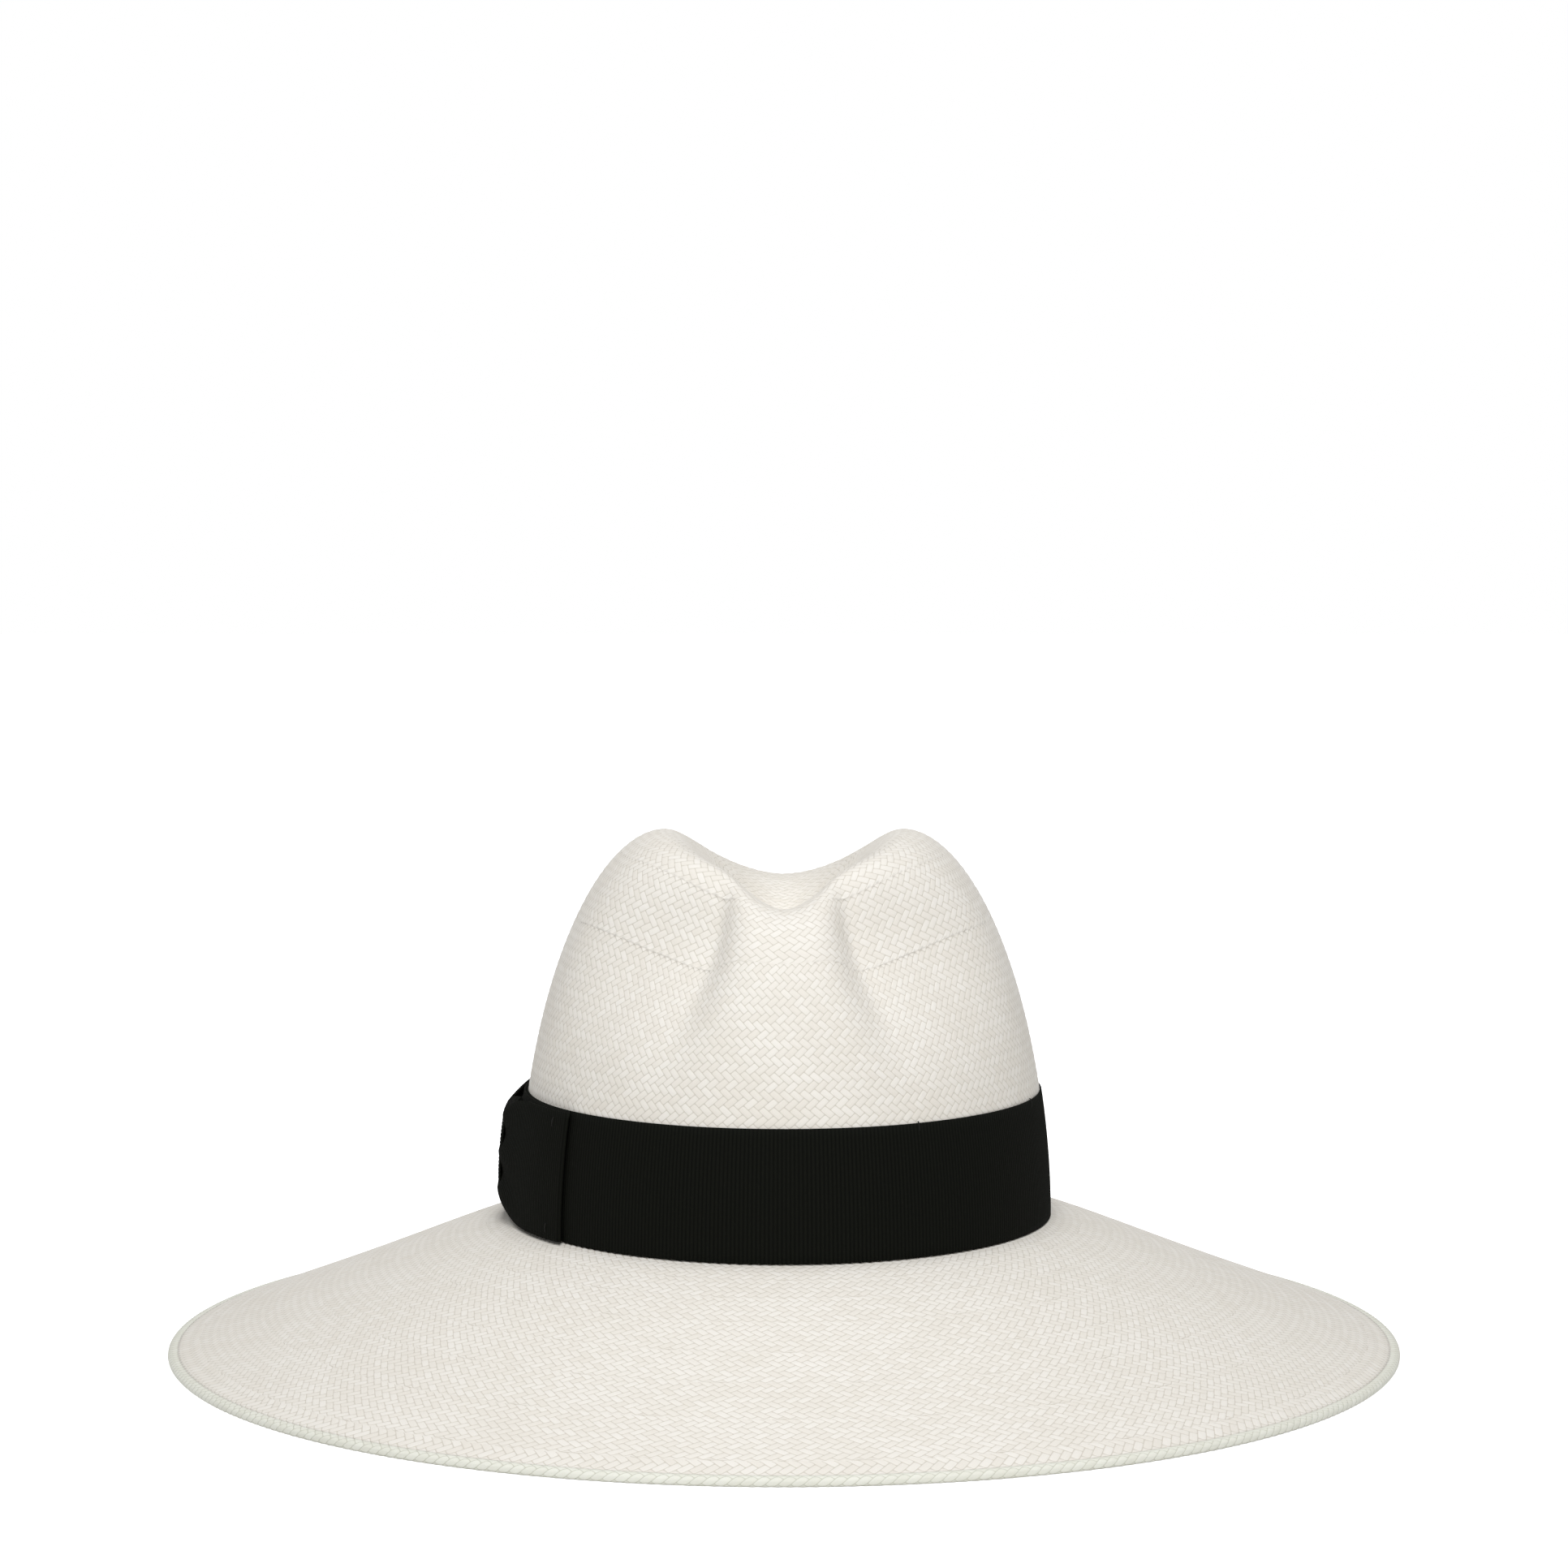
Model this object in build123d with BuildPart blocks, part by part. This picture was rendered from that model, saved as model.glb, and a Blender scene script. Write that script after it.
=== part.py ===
from build123d import *
import os
from math import atan2, cos, degrees, exp, pi, radians, sin, sqrt

# Wide-brimmed straw panama hat, front (pinches) toward -Y, bow on -X.
# All sizes in millimetres.  Z = 0 is the surface that the brim edge rests on.

# ---------------------------------------------------------------- driving dimensions
head_length = 197.0          # inside the sweatband, front to back
head_breadth = 163.0         # inside the sweatband, side to side
leather = 0.9                # sweatband leather
straw = 1.4                  # one layer of woven straw
ribbon = 0.5                 # grosgrain ribbon
clearance = 0.15             # between a soft layer and what it lies on

brim_width_side = 110.3      # crown to brim edge, measured level, at the sides
brim_width_front = 113.0     # the same at the front and the back
brim_drop = 42.2             # crown/brim break above the resting surface
brim_belly = 0.42            # how far the inner brim swells above a straight cone

ridge_height = 121.6         # top of the side ridges above the break
ridge_half_breadth = 38.2    # side ridge from the centre line
front_lip_height = 101.7     # front end of the top dent above the break
back_lip_height = 102.4      # back end of the top dent above the break
front_lip_reach = 61.0       # front lip ahead of the crown's middle
back_lip_reach = 58.0        # back lip behind the crown's middle
dent_floor_height = 90.0     # bottom of the top dent above the break
wall_fullness = 1.88         # exponent of the wall's superellipse

pinch_depth = 15.0
pinch_height = 91.0          # middle of a pinch above the break
pinch_offset = 30.0          # middle of a pinch from the centre line
pinch_lean = 0.28            # how far a pinch spreads outward per mm downward
pinch_inner_reach = 11.5     # fade toward the front bridge
pinch_outer_reach = 32.0     # fade toward the side
pinch_tall_reach = 25.0      # fade up and down
pinch_back_end = 26.0        # the pinches end this far ahead of the crown's middle
pinch_fade = 34.0            # and reach their depth over this length

edge_roll = 3.0              # rolled brim edge: thickness and width
hem_width = 10.0             # turned-under strip, roll included
rest_land = 1.5              # flat of the roll that meets the table
hem_stitch_count = 120
hem_stitch_length = 5.0
hem_seam_inset = 1.5         # stitches from the strip's inner edge
thread = 0.35
edge_wire = 1.0              # spring wire inside the roll
joiner_length = 24.0         # tube that joins the wire's ends
joiner_wall = 0.25

band_height = 40.0           # hatband ribbon
bow_reach = 37.5             # half the bow, degrees round the crown
bow_waist_height = 29.0      # bow at its knot
knot_stand = 7.4             # knot above the crown wall
knot_half_angle = 6.0        # half the knot, degrees round the crown
loop_end_stand = 2.7         # folded end of a loop above the crown wall

sweat_height = 38.0          # leather above the break
sweat_tuck = 1.5             # leather below the break
reed_diameter = 0.9
reed_tape = 2.0              # outside of the tape round the reed
seam_slit = 0.5              # where the leather's two ends meet, at the back

ring_points = 48             # points that shape one crown ring
middle_share = 0.08          # size of the dent's flat middle, as a share of the ridge

# ---------------------------------------------------------------- worked-out dimensions
liner = leather + clearance + straw
crown_half_breadth = head_breadth / 2 + liner
crown_half_length = head_length / 2 + liner
brim_half_breadth = crown_half_breadth + brim_width_side
brim_half_length = crown_half_length + brim_width_front
break_z = brim_drop
band_low = break_z + clearance
band_high = band_low + band_height
dent_floor_z = break_z + dent_floor_height
lip_reach = (front_lip_reach + back_lip_reach) / 2
dent_middle_y = (back_lip_reach - front_lip_reach) / 2
lip_rounding = 0.14          # front lip: share that is round before it climbs to the ridge
back_lip_flatness = 1.75     # back lip: higher is flatter across the middle


# ---------------------------------------------------------------- crown surface
def ridge_z(angle):
    """Height of the dent's rim: highest at the sides, lowest at the front and back lips."""
    if sin(angle) < 0:
        climb = sqrt(cos(angle) ** 2 + lip_rounding ** 2) - lip_rounding
        climb = climb / (sqrt(1 + lip_rounding ** 2) - lip_rounding)
        return break_z + front_lip_height + (ridge_height - front_lip_height) * climb
    climb = abs(cos(angle)) ** back_lip_flatness
    return break_z + back_lip_height + (ridge_height - back_lip_height) * climb


def pinch_depth_at(x, y, z):
    """How far the finger pinches push the front wall in at one place."""
    front = min(max((-y - pinch_back_end) / pinch_fade, 0.0), 1.0)
    front = front ** 2 * (3 - 2 * front)
    below = break_z + pinch_height - z
    across = abs(x) - (pinch_offset + pinch_lean * below)
    reach = pinch_inner_reach if across < 0 else pinch_outer_reach
    sideways = exp(-((across / reach) ** 2))
    upright = exp(-((below / pinch_tall_reach) ** 2))
    return pinch_depth * front * sideways * upright


def smooth_point(angle, out, up):
    """Plan share out (1 wall foot, 0 ridge) and height share up, before the pinches."""
    rim_x = ridge_half_breadth * cos(angle)
    rim_y = dent_middle_y + lip_reach * sin(angle)
    foot_x = crown_half_breadth * cos(angle)
    foot_y = crown_half_length * sin(angle)
    x = rim_x + (foot_x - rim_x) * out
    y = rim_y + (foot_y - rim_y) * out
    return x, y, break_z + (ridge_z(angle) - break_z) * up


def crown_point(angle, turn):
    """Outer crown surface: turn runs 0 at the break, 1 on the ridge, 2 at the dent's middle."""
    if turn <= 1:
        out = max(cos(turn * pi / 2), 0.0) ** (2 / wall_fullness)
        up = sin(turn * pi / 2) ** (2 / wall_fullness)
        x, y, z = smooth_point(angle, out, up)
    else:
        share = 2 - turn
        rim_x, rim_y, rim_z = smooth_point(angle, 0.0, 1.0)
        x = rim_x * share
        y = dent_middle_y + (rim_y - dent_middle_y) * share
        z = dent_floor_z + (rim_z - dent_floor_z) * share ** 2 * (3 - 2 * share)
    push = pinch_depth_at(x, y, z)
    return Vector(x, y, z) + inward_level(angle) * push


def inward_level(angle):
    """Level unit direction from the wall toward the inside of the crown."""
    x = -cos(angle) / crown_half_breadth
    y = -sin(angle) / crown_half_length
    return Vector(x, y, 0).normalized()


def crown_inside(angle, turn, depth):
    """The crown surface moved in by depth along its own normal."""
    step = 0.01
    low = max(turn - step, 0.0)
    high = min(turn + step, 2.0)
    along = crown_point(angle, high) - crown_point(angle, low)
    around = crown_point(angle + step, turn) - crown_point(angle - step, turn)
    normal = around.cross(along).normalized()
    return crown_point(angle, turn) - normal * depth


def closed_ring(points):
    """A closed curve; every ring shares its even parameters, so lofts stay light."""
    evenly = [i / len(points) for i in range(len(points) + 1)]
    return Wire([Edge.make_spline(points, periodic=True, parameters=evenly)])


def ring_angles():
    return [pi / 2 + 2 * pi * i / ring_points for i in range(ring_points)]


def crown_rings(depth):
    """Closed rings from the break up over the ridge and down to the dent's middle."""
    wall_steps = 12
    dent_steps = 6
    turns = [i / wall_steps for i in range(wall_steps + 1)]
    turns += [1 + (1 - middle_share) * (i + 1) / dent_steps for i in range(dent_steps)]
    rings = []
    for turn in turns:
        points = [crown_inside(angle, turn, depth) for angle in ring_angles()]
        if turn == turns[0]:
            points = [Vector(p.X, p.Y, break_z) for p in points]
        if turn == turns[-1]:
            points = [Vector(p.X, p.Y, dent_floor_z - depth) for p in points]
        rings.append(closed_ring(points))
    return rings


# ---------------------------------------------------------------- wall layers
def wall_point(angle, z, out):
    """A place on the lower crown wall at height z, moved level outward by out."""
    up = min(max((z - break_z) / (ridge_z(angle) - break_z), 0.0), 1.0)
    share = (1 - up ** wall_fullness) ** (1 / wall_fullness)
    x, y, _ = smooth_point(angle, share, up)
    place = Vector(x, y, z)
    return place + inward_level(angle) * (pinch_depth_at(x, y, z) - out)


def upright_point(angle, z, out):
    """As wall_point, but all the places of one angle lie in one upright plane."""
    foot = wall_point(angle, break_z, 0)
    outward = inward_level(angle) * -1
    lean = (wall_point(angle, z, 0) - foot).dot(outward)
    place = foot + outward * (lean + out)
    return Vector(place.X, place.Y, z)


def wall_stack(z_low, z_high, out):
    levels = 5
    heights = [z_low + (z_high - z_low) * i / levels for i in range(levels + 1)]
    rings = [closed_ring([wall_point(a, z, out) for a in ring_angles()]) for z in heights]
    return Solid.make_loft(rings)


def wall_block(start, end, shape, steps):
    """A block that follows the wall from start to end degrees.  shape gives, for each
    place, the lowest and highest z and the nearest and farthest distance off the wall."""
    levels = 3
    sections = []
    for i in range(steps + 1):
        turn = start + (end - start) * i / steps
        z_low, z_high, near, far = shape(turn)
        angle = radians(turn)
        heights = [z_low + (z_high - z_low) * j / levels for j in range(levels + 1)]
        corners = [upright_point(angle, z, near) for z in heights]
        corners += [upright_point(angle, z, far) for z in reversed(heights)]
        sections.append(Wire.make_polygon(corners))
    return Solid.make_loft(sections, ruled=True)


def oval_path(half_breadth, half_length, z):
    """A closed level ellipse."""
    with BuildLine(Plane.XY.offset(z)) as path:
        EllipticalCenterArc((0, 0), half_breadth, half_length, arc_size=360)
    return path.wires()[0]


def section_plane(half_breadth, z):
    """Plane across an oval path at its +X end: x outward, y up."""
    return Plane(origin=(half_breadth, 0, z), x_dir=(1, 0, 0), z_dir=(0, -1, 0))


def round_cord(half_breadth, half_length, z, diameter, bore):
    """A cord, or a tube when bore is more than 0, along a level ellipse."""
    with BuildPart() as cord:
        with BuildSketch(section_plane(half_breadth, z)):
            with BuildLine():
                CenterArc((0, 0), diameter / 2, 0, 180)
                CenterArc((0, 0), diameter / 2, 180, 180)
            make_face()
            if bore > 0:
                with BuildLine():
                    CenterArc((0, 0), bore / 2, 0, 180)
                    CenterArc((0, 0), bore / 2, 180, 180)
                make_face(mode=Mode.SUBTRACT)
        sweep(path=oval_path(half_breadth, half_length, z))
    return cord.part


def stitch_row(half_breadth, half_length, z, count, length, lean):
    """Stitches along a level ellipse, on a face whose outward direction leans lean
    degrees from straight up toward the outside of the oval."""
    places = []
    for i in range(count):
        angle = 2 * pi * (i + 0.5) / count
        x = half_breadth * cos(angle)
        y = half_length * sin(angle)
        along = Vector(-half_breadth * sin(angle), half_length * cos(angle), 0).normalized()
        outward = along.cross(Vector(0, 0, 1))
        face_way = Vector(0, 0, 1) * cos(radians(lean)) + outward * sin(radians(lean))
        places.append(Plane(origin=(x, y, z), x_dir=along, z_dir=face_way).location)
    with BuildPart() as row:
        with Locations(*places):
            Box(length, thread, thread, align=(Align.CENTER, Align.CENTER, Align.MIN))
    return row.part


# ---------------------------------------------------------------- brim surface
def brim_oval(share):
    """Half breadth and half length of the brim at a share of its width."""
    side = crown_half_breadth + (brim_width_side - edge_roll) * share
    front = crown_half_length + (brim_width_front - edge_roll) * share
    return side, front


def brim_z(share):
    fall = (1 - share) + brim_belly * share * (1 - share) ** 4
    return edge_roll + (break_z - edge_roll) * fall


brim_end_slope = (break_z - edge_roll) / (brim_width_side - edge_roll)
layer_depth = straw * sqrt(1 + brim_end_slope ** 2)
brim_shares = [0.0, 0.06, 0.13, 0.22, 0.34, 0.5, 0.68, 0.85, 1.0]


def brim_hill(drop):
    """Everything under the brim's upper face moved down by drop."""
    with BuildPart() as hill:
        for share in brim_shares:
            side, front = brim_oval(share)
            with BuildSketch(Plane.XY.offset(brim_z(share) - drop)):
                Ellipse(side, front)
        loft()
    return hill.part


# ---------------------------------------------------------------- straw body
with BuildPart() as crown:
    add(Solid.make_loft(crown_rings(0.0)))
    add(Solid.make_loft(crown_rings(straw)), mode=Mode.SUBTRACT)
crown.part.label = "crown"

with BuildPart() as brim:
    add(brim_hill(0.0))
    add(brim_hill(layer_depth), mode=Mode.SUBTRACT)
    with BuildSketch(Plane.XY.offset(break_z - 2 * layer_depth)):
        Ellipse(crown_half_breadth - straw, crown_half_length - straw)
    extrude(amount=3 * layer_depth, mode=Mode.SUBTRACT)
brim.part.label = "brim"

hem_strip = hem_width - edge_roll
hem_rise = hem_strip * brim_end_slope
roll_radius = edge_roll / 2
strip_thickness = layer_depth - clearance
roll_half_breadth = brim_half_breadth - roll_radius
roll_half_length = brim_half_length - roll_radius

with BuildPart() as brim_hem:
    with BuildSketch(section_plane(roll_half_breadth, 0)):
        with BuildLine():
            Polyline(
                (0, 0),
                (0, -clearance),
                (-rest_land, -clearance),
                (-rest_land, 0),
                (-roll_radius - hem_strip, hem_rise),
                (-roll_radius - hem_strip, hem_rise + strip_thickness),
                (-roll_radius, strip_thickness),
                (-roll_radius + clearance, edge_roll),
                (0, edge_roll),
            )
            ThreePointArc((0, edge_roll), (roll_radius, roll_radius), (0, 0))
        make_face()
        with Locations((0, roll_radius)):
            Circle(edge_wire / 2 + joiner_wall + clearance, mode=Mode.SUBTRACT)
    sweep(path=oval_path(roll_half_breadth, roll_half_length, 0))
    with Locations((0, 0, -clearance)):
        Box(2.1 * brim_half_breadth, 2.1 * brim_half_length, 2 * clearance, mode=Mode.SUBTRACT)
brim_hem.part.label = "brim_hem"

# ---------------------------------------------------------------- brim edge hardware
wire_cord = round_cord(roll_half_breadth, roll_half_length, roll_radius, edge_wire, 0)
joiner_span = degrees(joiner_length / roll_half_breadth)

with BuildPart() as brim_edge_wire:
    add(wire_cord)
brim_edge_wire.part.label = "brim_edge_wire"

with BuildPart() as wire_joiner:
    with BuildLine(Plane.XY.offset(roll_radius)) as joiner_path:
        EllipticalCenterArc(
            (0, 0),
            roll_half_breadth,
            roll_half_length,
            start_angle=90 - joiner_span / 2,
            arc_size=joiner_span,
        )
    with BuildSketch(Plane(joiner_path.line @ 0, z_dir=joiner_path.line % 0)):
        Circle(edge_wire / 2 + joiner_wall)
        Circle(edge_wire / 2, mode=Mode.SUBTRACT)
    sweep(path=joiner_path.wires()[0])
wire_joiner.part.label = "wire_joiner"

hem_seam_reach = roll_radius + hem_strip - hem_seam_inset
hem_seam_z = (hem_seam_reach - rest_land) / (roll_radius + hem_strip - rest_land) * hem_rise
strip_lean = degrees(atan2(hem_rise, roll_radius + hem_strip - rest_land))

with BuildPart() as hem_stitches:
    add(
        stitch_row(
            roll_half_breadth - hem_seam_reach,
            roll_half_length - hem_seam_reach,
            hem_seam_z,
            hem_stitch_count,
            hem_stitch_length,
            strip_lean + 180,
        )
    )
hem_stitches.part.label = "hem_stitches"


# ---------------------------------------------------------------- hatband
def wall_band(z_low, z_high, near, far):
    """A closed band round the wall between two distances off it."""
    with BuildPart() as band:
        add(wall_stack(z_low, z_high, far))
        add(wall_stack(z_low - straw, z_high + straw, near), mode=Mode.SUBTRACT)
    return band.part


with BuildPart() as hatband:
    add(wall_band(band_low, band_high, clearance, clearance + ribbon))
hatband.part.label = "hatband"

band_face = clearance + ribbon
backing_near = band_face + clearance
backing_far = backing_near + ribbon
bow_middle = 180.0
bow_steps = 12
waist_middle_z = (band_low + band_high) / 2
waist_low = waist_middle_z - bow_waist_height / 2
waist_high = waist_middle_z + bow_waist_height / 2


with BuildPart() as bow_backing:
    add(wall_band(band_low, band_high, backing_near, backing_far))
    with BuildSketch(Plane.XY.offset(band_low - straw)):
        with BuildLine():
            first = wall_point(radians(bow_middle - bow_reach), band_low, 0) * 3
            last = wall_point(radians(bow_middle + bow_reach), band_low, 0) * 3
            Polyline((0, 0), (first.X, first.Y), (last.X, last.Y), close=True)
        make_face()
    extrude(amount=band_height + 2 * straw, mode=Mode.INTERSECT)
bow_backing.part.label = "bow_backing"

# ---------------------------------------------------------------- bow loops
loop_gap = 0.3                   # knot to the loops, and loops to the backing
loop_near_knot = backing_far + loop_gap + ribbon + loop_gap
loop_far_knot = knot_stand - ribbon - loop_gap
loop_near_end = backing_far + loop_gap
loop_start = 0.8                 # each loop's own end inside the knot, degrees off the middle
gather_spread = 9.0              # degrees over which the waist opens to the full height
fold_wall = 0.45                 # degrees of ribbon at the loop's folded end


def gather(off_middle):
    """1 at the knot, fading to 0 toward a loop's end."""
    return exp(-((max(off_middle - knot_half_angle * 0.6, 0) / gather_spread) ** 2))


def loop_outline(turn):
    off_middle = abs(turn - bow_middle)
    pinch = gather(off_middle)
    z_low = band_low + (waist_low - band_low) * pinch
    z_high = band_high + (waist_high - band_high) * pinch
    near = loop_near_end + (loop_near_knot - loop_near_end) * pinch
    far = loop_end_stand + (loop_far_knot - loop_end_stand) * pinch
    return z_low, z_high, near, far


def loop_hollow(turn):
    """The space between a loop's two layers, open above and below."""
    z_low, z_high, near, far = loop_outline(turn)
    return z_low - straw, z_high + straw, near + ribbon, far - ribbon


def bow_loop(side):
    start = bow_middle + side * loop_start
    end = bow_middle + side * (bow_reach - fold_wall)
    hollow_end = bow_middle + side * (bow_reach - 3 * fold_wall)
    with BuildPart() as loop:
        add(wall_block(start, end, loop_outline, bow_steps))
        add(wall_block(start - side * fold_wall, hollow_end, loop_hollow, bow_steps), mode=Mode.SUBTRACT)
    return loop.part


with BuildPart() as bow_front_loop:
    add(bow_loop(1))
bow_front_loop.part.label = "bow_front_loop"

with BuildPart() as bow_back_loop:
    add(bow_loop(-1))
bow_back_loop.part.label = "bow_back_loop"

knot_low = waist_low - loop_gap - ribbon
knot_high = waist_high + loop_gap + ribbon
knot_near = backing_far + loop_gap


def knot_outline(turn):
    return knot_low, knot_high, knot_near, knot_stand


def knot_hollow(turn):
    return knot_low + ribbon, knot_high - ribbon, knot_near + ribbon, knot_stand - ribbon


with BuildPart() as bow_knot:
    knot_ends = (bow_middle - knot_half_angle, bow_middle + knot_half_angle)
    hollow_ends = (bow_middle - 1.5 * knot_half_angle, bow_middle + 1.5 * knot_half_angle)
    add(wall_block(*knot_ends, knot_outline, 4))
    add(wall_block(*hollow_ends, knot_hollow, 4), mode=Mode.SUBTRACT)
bow_knot.part.label = "bow_knot"

# ---------------------------------------------------------------- ribbon tacks
tack_length = 3.0
band_tack_turns = (-60.0, -20.0, 20.0, 60.0, 120.0)
bow_tack_inset = 4.5             # degrees from the bow's ends
bow_tack_turns = (bow_middle - bow_reach + bow_tack_inset, bow_middle + bow_reach - bow_tack_inset)
tack_inset = 2.5                 # from the ribbon's edge


def wall_tacks(turns, heights, stand):
    """Short stitches that lie along the wall's face."""
    with BuildPart() as tacks:
        for turn in turns:
            for z in heights:
                angle = radians(turn)
                place = wall_point(angle, z, stand)
                up_wall = wall_point(angle, z + tack_length, stand) - place
                face = Plane(origin=place, x_dir=up_wall, z_dir=up_wall.cross(
                    wall_point(angle + 0.01, z, stand) - place) * -1)
                with Locations(face.location):
                    Box(tack_length, thread, thread, align=(Align.CENTER, Align.CENTER, Align.MIN))
    return tacks.part


with BuildPart() as hatband_tacks:
    add(wall_tacks(band_tack_turns, [band_high - tack_inset], band_face))
hatband_tacks.part.label = "hatband_tacks"

with BuildPart() as bow_tacks:
    add(wall_tacks(bow_tack_turns, [band_low + tack_inset, band_high - tack_inset], loop_end_stand))
bow_tacks.part.label = "bow_tacks"

# ---------------------------------------------------------------- sweatband
sweat_far = -straw - clearance
sweat_near = sweat_far - leather
sweat_low = break_z - sweat_tuck
sweat_high = break_z + sweat_height

with BuildPart() as sweatband:
    add(wall_band(sweat_low, sweat_high, sweat_near, sweat_far))
    with Locations((0, crown_half_length, break_z)):
        Box(seam_slit, 8 * liner, 3 * sweat_height, mode=Mode.SUBTRACT)
sweatband.part.label = "sweatband"

reed_half_breadth = crown_half_breadth + sweat_far
reed_half_length = crown_half_length + sweat_far
reed_z = sweat_low - clearance - reed_tape / 2

with BuildPart() as sweatband_reed:
    add(round_cord(reed_half_breadth, reed_half_length, reed_z, reed_diameter, 0))
sweatband_reed.part.label = "sweatband_reed"

with BuildPart() as reed_tape_tube:
    tape_bore = reed_diameter + 2 * clearance
    add(round_cord(reed_half_breadth, reed_half_length, reed_z, reed_tape, tape_bore))
reed_tape_tube.part.label = "reed_tape"

sweat_stitch_count = 72
sweat_stitch_length = 4.0
sweat_face_breadth = crown_half_breadth + sweat_near
sweat_face_length = crown_half_length + sweat_near

with BuildPart() as sweatband_stitches:
    add(
        stitch_row(
            sweat_face_breadth,
            sweat_face_length,
            break_z + sweat_tuck,
            sweat_stitch_count,
            sweat_stitch_length,
            -90,
        )
    )
sweatband_stitches.part.label = "sweatband_stitches"

# ---------------------------------------------------------------- small bow and size label
small_loop_length = 11.0
small_loop_height = 7.0
small_waist_height = 1.6
small_loop_point = 1.0           # the loops' ends come to a blunt point
small_knot_width = 3.5
small_knot_height = 4.5
small_knot_corner = 1.0
small_bow_thickness = 0.8
small_bow_z = break_z + 9.0
small_bow_face = wall_point(pi / 2, small_bow_z, sweat_near)
small_bow_clear = 0.7            # the leather curves toward the bow's ends

with BuildPart() as sweatband_bow:
    bow_plane = Plane(
        origin=(0, small_bow_face.Y - small_bow_clear, small_bow_z), x_dir=(1, 0, 0), z_dir=(0, -1, 0)
    )
    with BuildSketch(bow_plane):
        for side in (1, -1):
            with BuildLine():
                Polyline(
                    (0, small_waist_height / 2),
                    (side * small_loop_length, small_loop_height / 2),
                    (side * (small_loop_length + small_loop_point), 0),
                    (side * small_loop_length, -small_loop_height / 2),
                    (0, -small_waist_height / 2),
                    close=True,
                )
            make_face()
    extrude(amount=small_bow_thickness)
    with BuildSketch(bow_plane.offset(-small_bow_clear / 2)):
        RectangleRounded(small_knot_width, small_knot_height, small_knot_corner)
    extrude(amount=2 * small_bow_thickness)
sweatband_bow.part.label = "sweatband_bow"

label_width = 10.0               # degrees round the crown
label_height = 12.0
label_thickness = 0.3
label_turn = 110.0
label_low = break_z + 16.0


def label_shape(turn):
    near = sweat_near - clearance
    return label_low, label_low + label_height, near - label_thickness, near


with BuildPart() as size_label:
    add(wall_block(label_turn, label_turn + label_width, label_shape, 4))
size_label.part.label = "size_label"

# ---------------------------------------------------------------- write the pieces
pieces = [
    crown, brim, brim_hem, brim_edge_wire, wire_joiner, hem_stitches,
    hatband, bow_backing, bow_front_loop, bow_back_loop, bow_knot,
    hatband_tacks, bow_tacks,
    sweatband, sweatband_reed, reed_tape_tube, sweatband_stitches,
    sweatband_bow, size_label,
]
os.makedirs("parts", exist_ok=True)
for piece in pieces:
    export_step(piece.part, "parts/" + piece.part.label + ".step")
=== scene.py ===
import math
from functools import partial

import bpy
import numpy as np
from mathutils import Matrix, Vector


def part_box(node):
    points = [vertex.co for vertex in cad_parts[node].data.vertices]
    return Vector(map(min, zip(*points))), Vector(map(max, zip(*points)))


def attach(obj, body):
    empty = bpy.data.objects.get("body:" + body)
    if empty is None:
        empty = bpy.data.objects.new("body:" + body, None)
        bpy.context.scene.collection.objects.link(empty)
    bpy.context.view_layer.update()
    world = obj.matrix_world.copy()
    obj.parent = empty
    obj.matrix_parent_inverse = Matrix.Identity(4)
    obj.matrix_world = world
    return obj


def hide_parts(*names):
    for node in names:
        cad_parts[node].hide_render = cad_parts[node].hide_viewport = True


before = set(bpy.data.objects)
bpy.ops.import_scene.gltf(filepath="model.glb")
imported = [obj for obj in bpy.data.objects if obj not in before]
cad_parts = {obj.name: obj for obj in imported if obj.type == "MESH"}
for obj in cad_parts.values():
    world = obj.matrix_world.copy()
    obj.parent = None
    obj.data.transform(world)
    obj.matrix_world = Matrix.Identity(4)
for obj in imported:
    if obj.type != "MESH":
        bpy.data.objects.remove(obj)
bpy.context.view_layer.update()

# A woven straw hat with a ribbon, drawn in millimetres and put into the scene in metres.
# +Z is up, the front of the hat is -Y, the bow is on -X.

metre = 0.001
fullTurn = 2 * math.pi


# places read from the frame, in millimetres
def nodeBox(node):
    low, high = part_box(node)
    return np.array(low) / metre, np.array(high) / metre


crownBox = nodeBox("crown")
brimBox = nodeBox("brim")
hemBox = nodeBox("brim_hem")
bandBox = nodeBox("hatband")
leatherBox = nodeBox("sweatband")
tapeBox = nodeBox("reed_tape")
labelBox = nodeBox("size_label")
backBowBox = nodeBox("sweatband_bow")

breakZ = brimBox[1][2]                       # where crown and brim meet
crownHalf = (crownBox[1][0], crownBox[1][1])
brimHalf = (brimBox[1][0], brimBox[1][1])
bandLow, bandHigh = bandBox[0][2], bandBox[1][2]

# camera
cameraPlace = {
    "stand": (0.0, -1.4864, 0.2812),         # metres
    "lookDown": 3.965,                       # degrees below level
    "lens": 108.3,
    "sensor": 36.0,
}


def makeCamera(place):
    data = bpy.data.cameras.new("hatCamera")
    data.lens = place["lens"]
    data.sensor_width = place["sensor"]
    data.clip_start = 0.05
    data.clip_end = 50
    camera = bpy.data.objects.new("hatCamera", data)
    camera.location = place["stand"]
    camera.rotation_euler = (math.radians(90 - place["lookDown"]), 0, 0)
    bpy.context.scene.collection.objects.link(camera)
    bpy.context.scene.camera = camera


makeCamera(cameraPlace)
print("camera made")

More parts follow.
